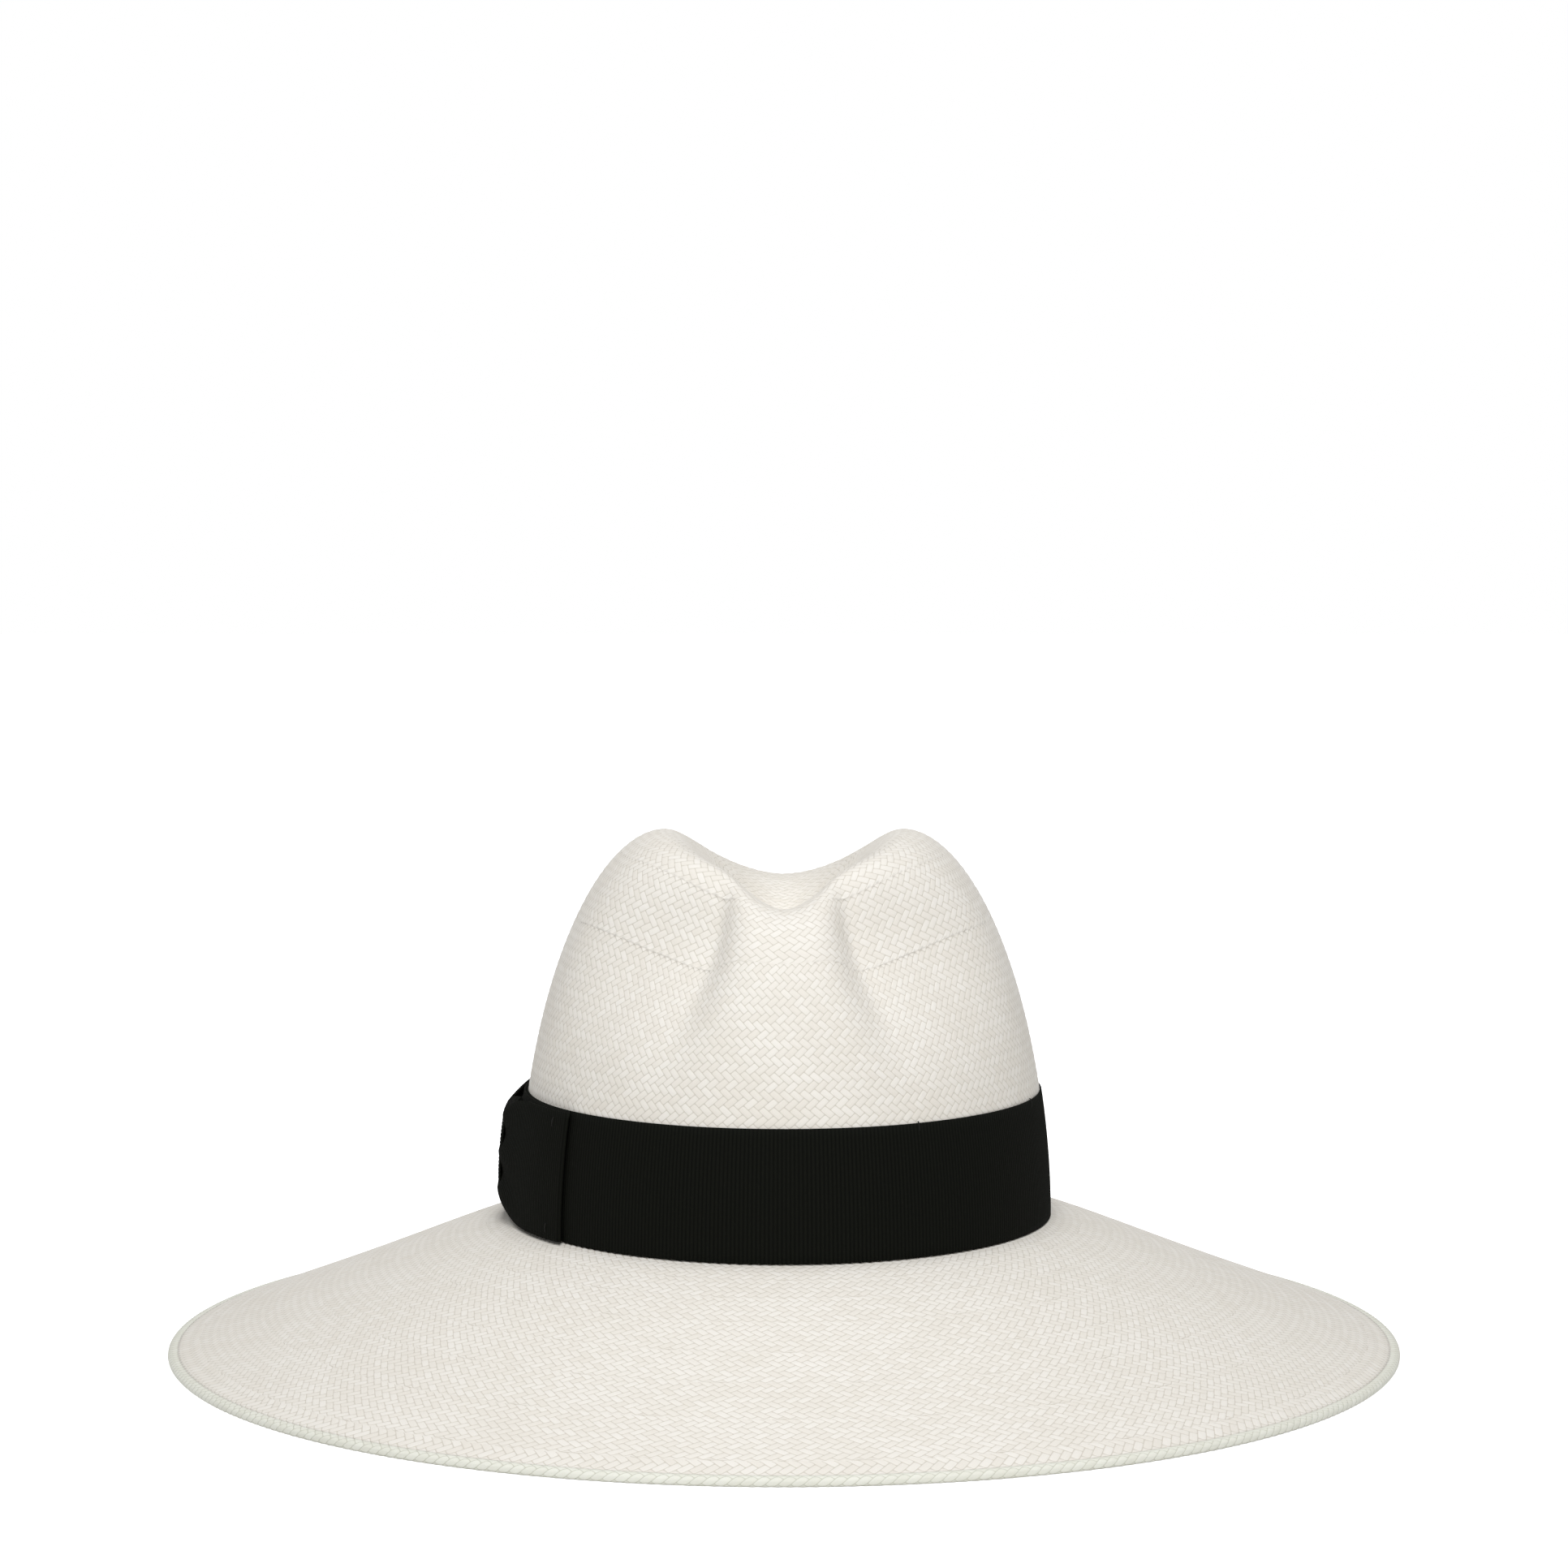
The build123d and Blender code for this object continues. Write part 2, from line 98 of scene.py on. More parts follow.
# the hat's own surfaces; angle 0 is +X and a quarter turn is +Y
crownShape = {
    "ridgeHeight": 121.6,                    # all heights are above the break
    "ridgeHalf": (38.2, 59.5),               # the dent's rim, half across and half along
    "dentMiddle": -1.5,
    "frontLip": 101.7,
    "backLip": 102.4,
    "lipRounding": 0.14,
    "backFlatness": 1.75,
    "dentFloor": 90.0,
    "wallFullness": 1.88,
    "skin": 1.4,
}
pinchShape = {
    "depth": 15.0,
    "height": 91.0,
    "offset": 30.0,
    "lean": 0.28,
    "innerReach": 11.5,
    "outerReach": 32.0,
    "tallReach": 25.0,
    "backEnd": 26.0,
    "fade": 34.0,
}
brimShape = {
    "belly": 0.42,
    "edgeHeight": 3.0,
    "skin": 1.4,
}


def smoothStep(share):
    share = np.clip(share, 0.0, 1.0)
    return share * share * (3 - 2 * share)


def runAlong(line):
    # the way covered at each point of a line, from 0
    return np.concatenate([[0], np.cumsum(np.linalg.norm(np.diff(line, axis=0), axis=-1))])


def ridgeHeightAt(angle):
    shape = crownShape
    rounding = shape["lipRounding"]
    climb = np.sqrt(np.cos(angle) ** 2 + rounding ** 2) - rounding
    climb = climb / (math.sqrt(1 + rounding ** 2) - rounding)
    front = shape["frontLip"] + (shape["ridgeHeight"] - shape["frontLip"]) * climb
    flat = np.abs(np.cos(angle)) ** shape["backFlatness"]
    back = shape["backLip"] + (shape["ridgeHeight"] - shape["backLip"]) * flat
    return breakZ + np.where(np.sin(angle) < 0, front, back)


def pinchPush(x, y, z):
    shape = pinchShape
    front = smoothStep((-y - shape["backEnd"]) / shape["fade"])
    below = breakZ + shape["height"] - z
    across = np.abs(x) - (shape["offset"] + shape["lean"] * below)
    reach = np.where(across < 0, shape["innerReach"], shape["outerReach"])
    sideways = np.exp(-((across / reach) ** 2))
    upright = np.exp(-((below / shape["tallReach"]) ** 2))
    return shape["depth"] * front * sideways * upright


def inwardAt(angle):
    x = -np.cos(angle) / crownHalf[0]
    y = -np.sin(angle) / crownHalf[1]
    length = np.hypot(x, y)
    return x / length, y / length


def wallPlan(angle, out):
    rimX = crownShape["ridgeHalf"][0] * np.cos(angle)
    rimY = crownShape["dentMiddle"] + crownShape["ridgeHalf"][1] * np.sin(angle)
    x = rimX + (crownHalf[0] * np.cos(angle) - rimX) * out
    y = rimY + (crownHalf[1] * np.sin(angle) - rimY) * out
    return x, y


def crownSurface(angle, turn):
    # turn runs 0 at the break, 1 on the ridge, 2 in the middle of the dent
    power = 2 / crownShape["wallFullness"]
    climb = np.clip(turn, 0, 1) * math.pi / 2
    out = np.maximum(np.cos(climb), 0) ** power
    up = np.sin(climb) ** power
    x, y = wallPlan(angle, out)
    ridge = ridgeHeightAt(angle)
    z = breakZ + (ridge - breakZ) * up
    share = np.clip(2 - turn, 0, 1)
    floor = breakZ + crownShape["dentFloor"]
    dentZ = floor + (ridge - floor) * share ** 2 * (3 - 2 * share)
    rimX, rimY = wallPlan(angle, np.zeros_like(angle))
    middle = crownShape["dentMiddle"]
    inside = turn > 1
    x = np.where(inside, rimX * share, x)
    y = np.where(inside, middle + (rimY - middle) * share, y)
    z = np.where(inside, dentZ, z)
    push = pinchPush(x, y, z)
    inX, inY = inwardAt(angle)
    return np.stack([x + inX * push, y + inY * push, z], axis=-1)


def wallSurface(angle, z, out):
    # the crown wall at a height, moved level outward
    ridge = ridgeHeightAt(angle)
    up = np.clip((z - breakZ) / (ridge - breakZ), 0, 1)
    full = crownShape["wallFullness"]
    x, y = wallPlan(angle, (1 - up ** full) ** (1 / full))
    push = pinchPush(x, y, z) - out
    inX, inY = inwardAt(angle)
    return np.stack([x + inX * push, y + inY * push, z + 0 * x], axis=-1)


def brimSurface(angle, share):
    side = crownHalf[0] + (brimHalf[0] - crownHalf[0]) * share
    front = crownHalf[1] + (brimHalf[1] - crownHalf[1]) * share
    edge = brimShape["edgeHeight"]
    fall = (1 - share) + brimShape["belly"] * share * np.clip(1 - share, 0, 1) ** 4
    z = edge + (breakZ - edge) * fall
    return np.stack([side * np.cos(angle), front * np.sin(angle), z], axis=-1)


def pushedIn(surface, depth, low, high):
    # the same surface moved along its own normal, toward the wearer
    def moved(angle, t):
        step = 0.004
        before = np.clip(t - step, low, high)
        after = np.clip(t + step, low, high)
        along = surface(angle, after) - surface(angle, before)
        around = surface(angle + step, t) - surface(angle - step, t)
        normal = np.cross(around, along)
        normal /= np.linalg.norm(normal, axis=-1, keepdims=True)
        return surface(angle, t) - normal * depth
    return moved


# woven skins
def evenShares(surface, low, high):
    # a share of the way from low to high, by true length, becomes the surface's own number
    angles = np.linspace(0, fullTurn, 181)
    steps = np.linspace(low, high, 401)
    grid = surface(angles[:, None] + 0 * steps[None, :], steps[None, :] + 0 * angles[:, None])
    run = np.cumsum(np.linalg.norm(np.diff(grid, axis=1), axis=-1), axis=1)
    run = np.concatenate([np.zeros((len(angles), 1)), run], axis=1)
    even = np.linspace(0, 1, 401)
    table = np.array([np.interp(even, line / line[-1], steps) for line in run])
    meanLength = run[:, -1].mean()

    def stepAt(angle, share):
        place = np.mod(angle, fullTurn) / fullTurn * (len(angles) - 1)
        column = np.minimum(place.astype(int), len(angles) - 2)
        beside = place - column
        level = np.clip(share, 0, 1) * (len(even) - 1)
        row = np.minimum(level.astype(int), len(even) - 2)
        above = level - row
        first = table[column, row] * (1 - above) + table[column, row + 1] * above
        second = table[column + 1, row] * (1 - above) + table[column + 1, row + 1] * above
        return first * (1 - beside) + second * beside

    def evenSurface(angle, share):
        angle = np.asarray(angle, float)
        share = np.asarray(share, float) + 0 * angle
        return surface(angle, stepAt(angle, share))
    return evenSurface, meanLength


def evenAngles(surface, share):
    # seam at the back of the hat
    angles = np.linspace(math.pi / 2, math.pi / 2 + fullTurn, 1441)
    ring = surface(angles, np.full_like(angles, share))
    return angles, runAlong(ring)


def planBands(surface, length, weave):
    # bands of rows in which the number of strands stays the same
    shares = np.linspace(0, 1, 201)
    rings = np.array([evenAngles(surface, s)[1][-1] for s in shares])
    bands = []
    start = 0.0
    while start < weave["lastShare"] - 1e-6:
        here = np.interp(start, shares, rings)
        pitch = weave["pitch"][0] + (weave["pitch"][1] - weave["pitch"][0]) * start
        strands = max(int(round(here / pitch * weave["startLoose"])), 6)
        rows = 1
        while True:
            end = start + (rows + 1) * weave["row"] / length
            local = np.interp(end, shares, rings) / strands
            if end > weave["lastShare"] or not weave["tight"] * pitch < local < weave["open"] * pitch:
                break
            rows += 1
        end = start + rows * weave["row"] / length
        if weave["lastShare"] - end < weave["row"] / length:
            end = weave["lastShare"]         # the last rows share what is left
        bands.append({"strands": strands, "rows": rows, "start": start, "end": end})
        start = end
    return bands


def floatLift(u, v):
    # 1 along the middle of each float, 0 where it dips under its neighbours
    best = np.zeros_like(u)
    for sideA in (-1e-4, 1e-4):
        for sideB in (-1e-4, 1e-4):
            a = u - v + sideA
            b = u + v + sideB
            i = np.floor(a)
            j = np.floor(b)
            part = np.mod(j - i, 4)
            second = part > 1.5
            across = np.where(second, b - j, a - i)
            along = np.where(second, (a - i + 3 - part) / 2, (b - j + part) / 2)
            crossUp = 1 - np.abs(2 * across - 1) ** 2
            alongUp = 1 - np.abs(2 * along - 1) ** 4
            best = np.maximum(best, np.clip(crossUp, 0, 1) * np.clip(alongUp, 0, 1))
    return best


def strandTones(u, v, strands, tones):
    i = np.floor(u - v)
    j = np.floor(u + v)
    second = np.mod(j - i, 4) > 1.5
    which = np.where(second, np.mod(j, strands) + strands, np.mod(i, strands)).astype(int)
    return tones[which]


def evenSteps(count):
    return np.arange(count) / count


def zipRings(low, high, lowShare, highShare):
    # triangles between two closed rings that have different numbers of points
    faces = []
    corners = []
    i = j = 0
    while i < len(low) or j < len(high):
        nextLow = lowShare[i] + 1 / len(low) if i < len(low) else 9.0
        nextHigh = highShare[j] + 1 / len(high) if j < len(high) else 9.0
        a, b = low[i % len(low)], high[j % len(high)]
        if nextLow <= nextHigh:
            faces.append((a, low[(i + 1) % len(low)], b))
            i += 1
        else:
            faces.append((a, high[(j + 1) % len(high)], b))
            j += 1
        corners.append(min(i / len(low), 1.0))
    return np.array(faces), np.array(corners)


def weaveSkin(surface, bands, fine, seed):
    chance = np.random.default_rng(seed)
    points, lifts = [], []
    quads, quadUv, quadTone = [], [], []
    tris, triUv, triTone = [], [], []
    count = 0
    rowsBefore = 0
    lastRing = None
    firstRing = None
    for band in bands:
        strands, rows = band["strands"], band["rows"]
        tones = chance.random(2 * strands)
        angles, run = evenAngles(surface, (band["start"] + band["end"]) / 2)
        perRow = strands * fine
        levels = 2 * fine * rows
        gap = 0.35 / levels if lastRing is not None else 0.0
        k = np.arange(perRow)
        for level in range(levels + 1):
            u = (k + (level % 2) / 2) / fine
            v = np.full(perRow, level / (2 * fine))
            share = band["start"] + (band["end"] - band["start"]) * max(level / levels, gap)
            angle = np.interp(u / strands, run / run[-1], angles)
            points.append(surface(angle, np.full(perRow, share)))
            lifts.append(floatLift(u, v))
        index = count + np.arange((levels + 1) * perRow).reshape(levels + 1, perRow)
        count += (levels + 1) * perRow

        def addFaces(faceK, faceLevels, store, storeUv, storeTone):
            # faceK and faceLevels give each corner's place in the unwrapped band
            u = (faceK + (faceLevels % 2) / 2) / fine
            v = faceLevels / (2 * fine)
            store.append(index[faceLevels, faceK % perRow])
            storeUv.append(np.stack([u, v + rowsBefore], axis=-1))
            storeTone.append(strandTones(u.mean(axis=1), v.mean(axis=1), strands, tones))

        for level in range(levels - 1):
            shift = level % 2
            faceK = np.stack([k, k + shift, k, k + shift - 1], axis=1)
            if not shift:                    # keeps the left-hand corners in range
                faceK = faceK + 1
            faceLevels = np.tile([level, level + 1, level + 2, level + 1], (perRow, 1))
            addFaces(faceK, faceLevels, quads, quadUv, quadTone)
        faceK = np.stack([k, k + 1, k], axis=1)
        addFaces(faceK, np.tile([0, 0, 1], (perRow, 1)), tris, triUv, triTone)
        faceK = np.stack([k + 1, k, k], axis=1)
        addFaces(faceK, np.tile([levels, levels, levels - 1], (perRow, 1)), tris, triUv, triTone)
        if lastRing is None:
            firstRing = index[0]
        else:
            faces, corner = zipRings(lastRing, index[0], evenSteps(len(lastRing)), evenSteps(perRow))
            tris.append(faces)
            uv = np.stack([corner * strands, np.full(len(corner), float(rowsBefore))], axis=-1)
            triUv.append(np.repeat(uv[:, None, :], 3, axis=1))
            triTone.append(np.full(len(faces), 0.5))
        lastRing = index[levels]
        rowsBefore += 4 * math.ceil(rows / 4)
    return {
        "points": np.concatenate(points),
        "lift": np.concatenate(lifts),
        "quads": np.concatenate(quads), "quadUv": np.concatenate(quadUv),
        "quadTone": np.concatenate(quadTone),
        "tris": np.concatenate(tris), "triUv": np.concatenate(triUv),
        "triTone": np.concatenate(triTone),
        "firstRing": firstRing, "lastRing": lastRing,
    }


def turnOver(skin):
    # the same faces, looking the other way
    for part in ("quads", "quadUv", "tris", "triUv"):
        skin[part] = skin[part][:, ::-1]


def joinSkins(outer, inner):
    # one closed woven body: the inner skin is turned over and zipped to the outer at its ends
    turnOver(inner)
    shift = len(outer["points"])
    inner["quads"] = inner["quads"] + shift
    inner["tris"] = inner["tris"] + shift
    parts = ("points", "lift", "quads", "quadUv", "quadTone", "tris", "triUv", "triTone")
    joined = {part: [outer[part], inner[part]] for part in parts}
    for ring, flipped in (("firstRing", True), ("lastRing", False)):
        if ring == "lastRing" and outer.get("capped"):
            continue
        low, high = outer[ring], inner[ring]
        faces, _ = zipRings(low, high + shift, evenSteps(len(low)), evenSteps(len(high)))
        joined["tris"].append(faces[:, ::-1] if flipped else faces)
        joined["triUv"].append(np.zeros((len(faces), 3, 2)))
        joined["triTone"].append(np.full(len(faces), 0.5))
    return {part: np.concatenate(pieces) for part, pieces in joined.items()}


def capSkin(skin):
    # closes the last ring to one point
    ring = skin["lastRing"]
    middle = len(skin["points"])
    skin["points"] = np.concatenate([skin["points"], skin["points"][ring].mean(axis=0)[None, :]])
    skin["lift"] = np.append(skin["lift"], 0.0)
    after = np.roll(ring, -1)
    faces = np.stack([ring, after, np.full(len(ring), middle)], axis=1)
    skin["tris"] = np.concatenate([skin["tris"], faces])
    skin["triUv"] = np.concatenate([skin["triUv"], np.zeros((len(faces), 3, 2))])
    skin["triTone"] = np.append(skin["triTone"], np.full(len(faces), 0.5))
    skin["capped"] = True
    return skin


def pointNormals(points, quads, tris):
    normals = np.zeros_like(points)
    for faces in (quads, tris):
        if len(faces):
            across = points[faces[:, 2]] - points[faces[:, 0]]
            other = points[faces[:, -1]] - points[faces[:, 1]]
            face = np.cross(across, other) if faces.shape[1] == 4 else np.cross(
                points[faces[:, 1]] - points[faces[:, 0]], points[faces[:, 2]] - points[faces[:, 0]])
            for corner in range(faces.shape[1]):
                np.add.at(normals, faces[:, corner], face)
    return normals / np.maximum(np.linalg.norm(normals, axis=1, keepdims=True), 1e-12)


def makeMesh(name, points, quads, tris, uv, tones=None, smooth=True):
    # points in millimetres; uv has one place for each face corner, quads first
    mesh = bpy.data.meshes.new(name)
    quads = np.asarray(quads, int).reshape(-1, 4)
    tris = np.asarray(tris, int).reshape(-1, 3)
    corners = np.concatenate([quads.ravel(), tris.ravel()])
    mesh.vertices.add(len(points))
    mesh.vertices.foreach_set("co", (points * metre).astype(np.float32).ravel())
    mesh.loops.add(len(corners))
    mesh.loops.foreach_set("vertex_index", corners.astype(np.int32))
    starts = np.concatenate([np.arange(len(quads)) * 4, len(quads) * 4 + np.arange(len(tris)) * 3])
    mesh.polygons.add(len(starts))
    mesh.polygons.foreach_set("loop_start", starts.astype(np.int32))
    mesh.update(calc_edges=True)
    mesh.validate()
    if uv is not None:
        layer = mesh.uv_layers.new(name="weave")
        layer.data.foreach_set("uv", np.asarray(uv, np.float32).ravel())
    if tones is not None:
        tone = mesh.attributes.new("strandTone", "FLOAT", "FACE")
        tone.data.foreach_set("value", np.asarray(tones, np.float32))
    mesh.polygons.foreach_set("use_smooth", np.full(len(starts), smooth))
    piece = bpy.data.objects.new(name, mesh)
    bpy.context.scene.collection.objects.link(piece)
    return piece


def wovenPiece(name, skin, relief, level=0.5):
    normals = pointNormals(skin["points"], skin["quads"], skin["tris"])
    points = skin["points"] + normals * (skin["lift"] - level)[:, None] * relief
    uv = np.concatenate([skin["quadUv"].reshape(-1, 2), skin["triUv"].reshape(-1, 2)])
    tones = np.concatenate([skin["quadTone"], skin["triTone"]])
    return makeMesh(name, points, skin["quads"], skin["tris"], uv, tones)


# crown
crownWeave = {
    "pitch": (3.0, 3.0),                     # strand to strand, round the hat
    "row": 2.7,                              # one crossing to the next, up the hat
    "startLoose": 0.93,
    "tight": 0.84,
    "open": 1.25,
    "lastShare": 0.985,
    "relief": 0.2,
    "fine": 2,
    "seed": 11,
}


def makeCrown(weave):
    last = 1.995                             # just short of the dent's very middle
    outside, length = evenShares(crownSurface, 0.0, last)
    inside, _ = evenShares(pushedIn(crownSurface, crownShape["skin"], 0.0, last), 0.0, last)
    bands = planBands(outside, length, weave)
    outer = capSkin(weaveSkin(outside, bands, weave["fine"], weave["seed"]))
    inner = capSkin(weaveSkin(inside, bands, 1, weave["seed"]))
    inner["lift"][:] = 0.5
    return wovenPiece("crownWeave", joinSkins(outer, inner), weave["relief"])


crownPiece = makeCrown(crownWeave)
print("crown woven:", len(crownPiece.data.polygons), "faces")

# brim
brimWeave = {
    "pitch": (3.05, 3.45),
    "row": 2.7,
    "startLoose": 1.0,
    "tight": 0.8,
    "open": 1.12,
    "lastShare": 1.0,
    "relief": 0.21,
    "fine": 2,
    "seed": 23,
}


def makeBrim(weave):
    outside, length = evenShares(brimSurface, 0.0, 1.0)
    under = pushedIn(brimSurface, -brimShape["skin"], 0.0, 1.0)
    underside, _ = evenShares(under, 0.0, 1.0)
    bands = planBands(outside, length, weave)
    outer = weaveSkin(outside, bands, weave["fine"], weave["seed"])
    inner = weaveSkin(underside, bands, weave["fine"], weave["seed"])
    skin = joinSkins(outer, inner)
    turnOver(skin)                           # the brim's upper side faces up
    return wovenPiece("brimWeave", skin, weave["relief"])


brimPiece = makeBrim(brimWeave)
print("brim woven:", len(brimPiece.data.polygons), "faces")

# rolled and turned-under edge
hemShape = {
    "rollRadius": 1.5,
    "stripInner": 8.5,                       # the strip's inner edge, in from the roll's middle
    "stripRise": 2.555,
    "stripThick": 1.34,
    "land": 1.5,
    "bead": 0.06,                            # how far the roll stands over the brim's surface
}
hemWeave = {
    "pitch": (3.45, 3.45),
    "row": 2.6,
    "startLoose": 1.0,
    "tight": 0.5,
    "open": 2.0,
    "lastShare": 1.0,
    "relief": 0.13,
    "fine": 2,
    "seed": 31,
}


def hemProfile(shape):
    # outward and up from the foot of the roll's middle: over the roll and in under the brim
    radius = shape["rollRadius"]
    turns = np.radians(np.linspace(90, -90, 25))
    over = np.stack([radius * np.cos(turns), radius + radius * np.sin(turns)], axis=1)
    over += np.stack([np.cos(turns), np.clip(np.sin(turns), 0, 1)], axis=1) * shape["bead"]
    start = [[-radius - 0.25, 2 * radius + 0.03]]
    end = [[-shape["land"], 0.0], [-shape["stripInner"], shape["stripRise"]]]
    return np.concatenate([start, over, end])


def alongLine(line, share):
    run = runAlong(line)
    place = np.clip(share, 0, 1) * run[-1]
    return np.interp(place, run, line[:, 0]), np.interp(place, run, line[:, 1])


def hemRing(angle, out, up):
    middle = (hemBox[1][0] - hemShape["rollRadius"], hemBox[1][1] - hemShape["rollRadius"])
    x = (middle[0] + out) * np.cos(angle)
    y = (middle[1] + out) * np.sin(angle)
    return np.stack([x, y, up + 0 * x], axis=-1)


def makeHem(shape, weave):
    line = hemProfile(shape)

    def hemSurface(angle, share):
        out, up = alongLine(line, share)
        return hemRing(angle, out, up)
    surface, length = evenShares(hemSurface, 0.0, 1.0)
    skin = weaveSkin(surface, planBands(surface, length, weave), weave["fine"], weave["seed"])
    # the layer's back, hidden against the brim, closes the piece
    back = [(-shape["stripInner"], shape["stripRise"] + shape["stripThick"]),
            (-shape["land"], shape["stripThick"]),
            (-shape["rollRadius"] - 0.2, 2 * shape["rollRadius"] - 1.2)]
    ring = skin["lastRing"]
    flat = skin["points"][ring]
    angles = np.arctan2(flat[:, 1] / hemBox[1][1], flat[:, 0] / hemBox[1][0])
    rings = [ring]
    points = [skin["points"]]
    count = len(skin["points"])
    for out, up in back:
        points.append(hemRing(angles, np.full(len(ring), out), np.full(len(ring), up)))
        rings.append(count + np.arange(len(ring)))
        count += len(ring)
    rings.append(skin["firstRing"])
    quads = []
    for low, high in zip(rings[:-1], rings[1:]):
        quads.append(np.stack([low, np.roll(low, -1), np.roll(high, -1), high], axis=1))
    quads = np.concatenate(quads)
    skin["points"] = np.concatenate(points)
    skin["lift"] = np.append(skin["lift"], np.full(count - len(skin["lift"]), 0.5))
    skin["quads"] = np.concatenate([skin["quads"], quads])
    skin["quadUv"] = np.concatenate([skin["quadUv"], np.zeros((len(quads), 4, 2))])
    skin["quadTone"] = np.append(skin["quadTone"], np.full(len(quads), 0.5))
    turnOver(skin)
    return wovenPiece("brimEdge", skin, weave["relief"], level=1.0)


hemPiece = makeHem(hemShape, hemWeave)
print("brim edge rolled")


# plain grids, for ribbon, leather, tape and thread
def gridPiece(name, points, wrapAcross, wrapAlong, across, along, caps=False):
    # points has shape (across, along, 3); across and along give the weave layer's numbers
    rows, columns = points.shape[:2]
    index = np.arange(rows * columns).reshape(rows, columns)
    i = np.arange(rows if wrapAcross else rows - 1)
    j = np.arange(columns if wrapAlong else columns - 1)
    i, j = [k.ravel() for k in np.meshgrid(i, j, indexing="ij")]
    nextI, nextJ = (i + 1) % rows, (j + 1) % columns
    quads = np.stack([index[i, j], index[nextI, j], index[nextI, nextJ], index[i, nextJ]], axis=1)
    u = np.stack([across[i], across[i + 1], across[i + 1], across[i]], axis=1)
    v = np.stack([along[j], along[j], along[j + 1], along[j + 1]], axis=1)
    uv = np.stack([u, v], axis=-1).reshape(-1, 2)
    tris = np.zeros((0, 3), int)
    if caps:                                 # closes the two ends of a tube
        extra = []
        for ring, flip in ((index[0], True), (index[-1], False)):
            middle = len(points.reshape(-1, 3)) + len(extra)
            extra.append(points[0 if flip else -1].mean(axis=0))
            fan = np.stack([ring, np.roll(ring, -1), np.full(columns, middle)], axis=1)
            tris = np.concatenate([tris, fan[:, ::-1] if flip else fan])
        allPoints = np.concatenate([points.reshape(-1, 3), np.array(extra)])
        uv = np.concatenate([uv, np.zeros((len(tris) * 3, 2))])
    else:
        allPoints = points.reshape(-1, 3)
    volume = signedVolume(allPoints, quads, tris)
    if volume < 0:
        quads = quads[:, ::-1]
        uvQuads = uv[:len(quads) * 4].reshape(-1, 4, 2)[:, ::-1].reshape(-1, 2)
        uv = np.concatenate([uvQuads, uv[len(quads) * 4:]])
        tris = tris[:, ::-1]
    return makeMesh(name, allPoints, quads, tris, uv)


def signedVolume(points, quads, tris):
    faces = [quads[:, [0, 1, 2]], quads[:, [0, 2, 3]]]
    if len(tris):
        faces.append(tris)
    corners = points[np.concatenate(faces)]
    return np.einsum("ij,ij->i", corners[:, 0], np.cross(corners[:, 1], corners[:, 2])).sum() / 6


def facesOf(across, along):
    # unit normals of a sheet, from its two directions
    normal = np.cross(across, along)
    return normal / np.maximum(np.linalg.norm(normal, axis=-1, keepdims=True), 1e-9)


def roundWidth(width):
    # across the front of a ribbon and back across its back, closed
    return np.concatenate([width, width[::-1], width[:1]])


def wrapSection(angles, section, lift):
    # a section, given as height and distance off the wall, taken round the crown
    a = angles[:, None] + 0 * section[None, :, 0]
    return wallSurface(a, section[None, :, 0] + 0 * a, section[None, :, 1] + lift + 0 * a)


def sectionWay(section, foot):
    return np.concatenate([section[:, 0], section[:1, 0]]) - foot


def ribLift(number, depth):
    # rounded cords: low between them, high along their middles
    return depth * (np.abs(np.sin(math.pi * number)) - 0.5)


# hatband
ribbonCloth = {
    "rib": 1.27,                             # one cord to the next
    "ribDepth": 0.13,
    "perRib": 4,
    "thick": 0.5,
    "rows": 14,
    "edgeCord": 0.22,                        # the woven edge stands a little prouder
    "edgeReach": 0.9,
    "edgeRound": 0.12,
    "near": 0.15,                            # the hatband's back, off the wall
}


def wallAngles(start, end, z):
    # even steps along the wall, one number for each rib
    angles = np.linspace(start, end, 721)
    line = wallSurface(angles, np.full_like(angles, z), 0.0)
    run = runAlong(line)
    ribs = max(int(round(run[-1] / ribbonCloth["rib"])), 4)
    steps = ribs * ribbonCloth["perRib"]
    number = np.arange(steps + 1) / ribbonCloth["perRib"]
    return np.interp(number / ribs, run / run[-1], angles), number


def bandSection(low, high, near, cloth):
    # one loop round the ribbon's thickness: share up, distance off the wall, rib share
    rows = cloth["rows"]
    up = np.linspace(low, high, rows + 1)
    edge = np.minimum(up - low, high - up)
    cord = cloth["edgeCord"] * np.exp(-((edge / cloth["edgeReach"]) ** 2))
    face = np.stack([up, near + cloth["thick"] + cord * 0.6, np.ones(rows + 1)], axis=1)
    face[[0, -1], 1] -= cloth["edgeRound"]
    face[[0, -1], 2] = 0.3
    back = np.stack([up[::-1], np.full(rows + 1, near), np.zeros(rows + 1)], axis=1)[::3]
    return np.concatenate([face, [[high + 0.1, near + cloth["thick"] / 2, 0]], back,
                           [[low - 0.1, near + cloth["thick"] / 2, 0]]])


def makeHatband(cloth):
    angles, number = wallAngles(math.pi / 2, math.pi / 2 + fullTurn, bandLow + 10)
    angles, ribs = angles[:-1], number[:-1]
    section = bandSection(bandLow + 0.1, bandHigh - 0.1, cloth["near"], cloth)
    lift = ribLift(ribs, cloth["ribDepth"])[:, None] * section[None, :, 2]
    points = wrapSection(angles, section, lift)
    piece = gridPiece("hatbandRibbon", points, True, True, number, sectionWay(section, bandLow))
    return piece, len(ribs) / cloth["perRib"] * cloth["rib"]


hatbandPiece, hatbandLength = makeHatband(ribbonCloth)
print("hatband:", round(hatbandLength), "mm round")

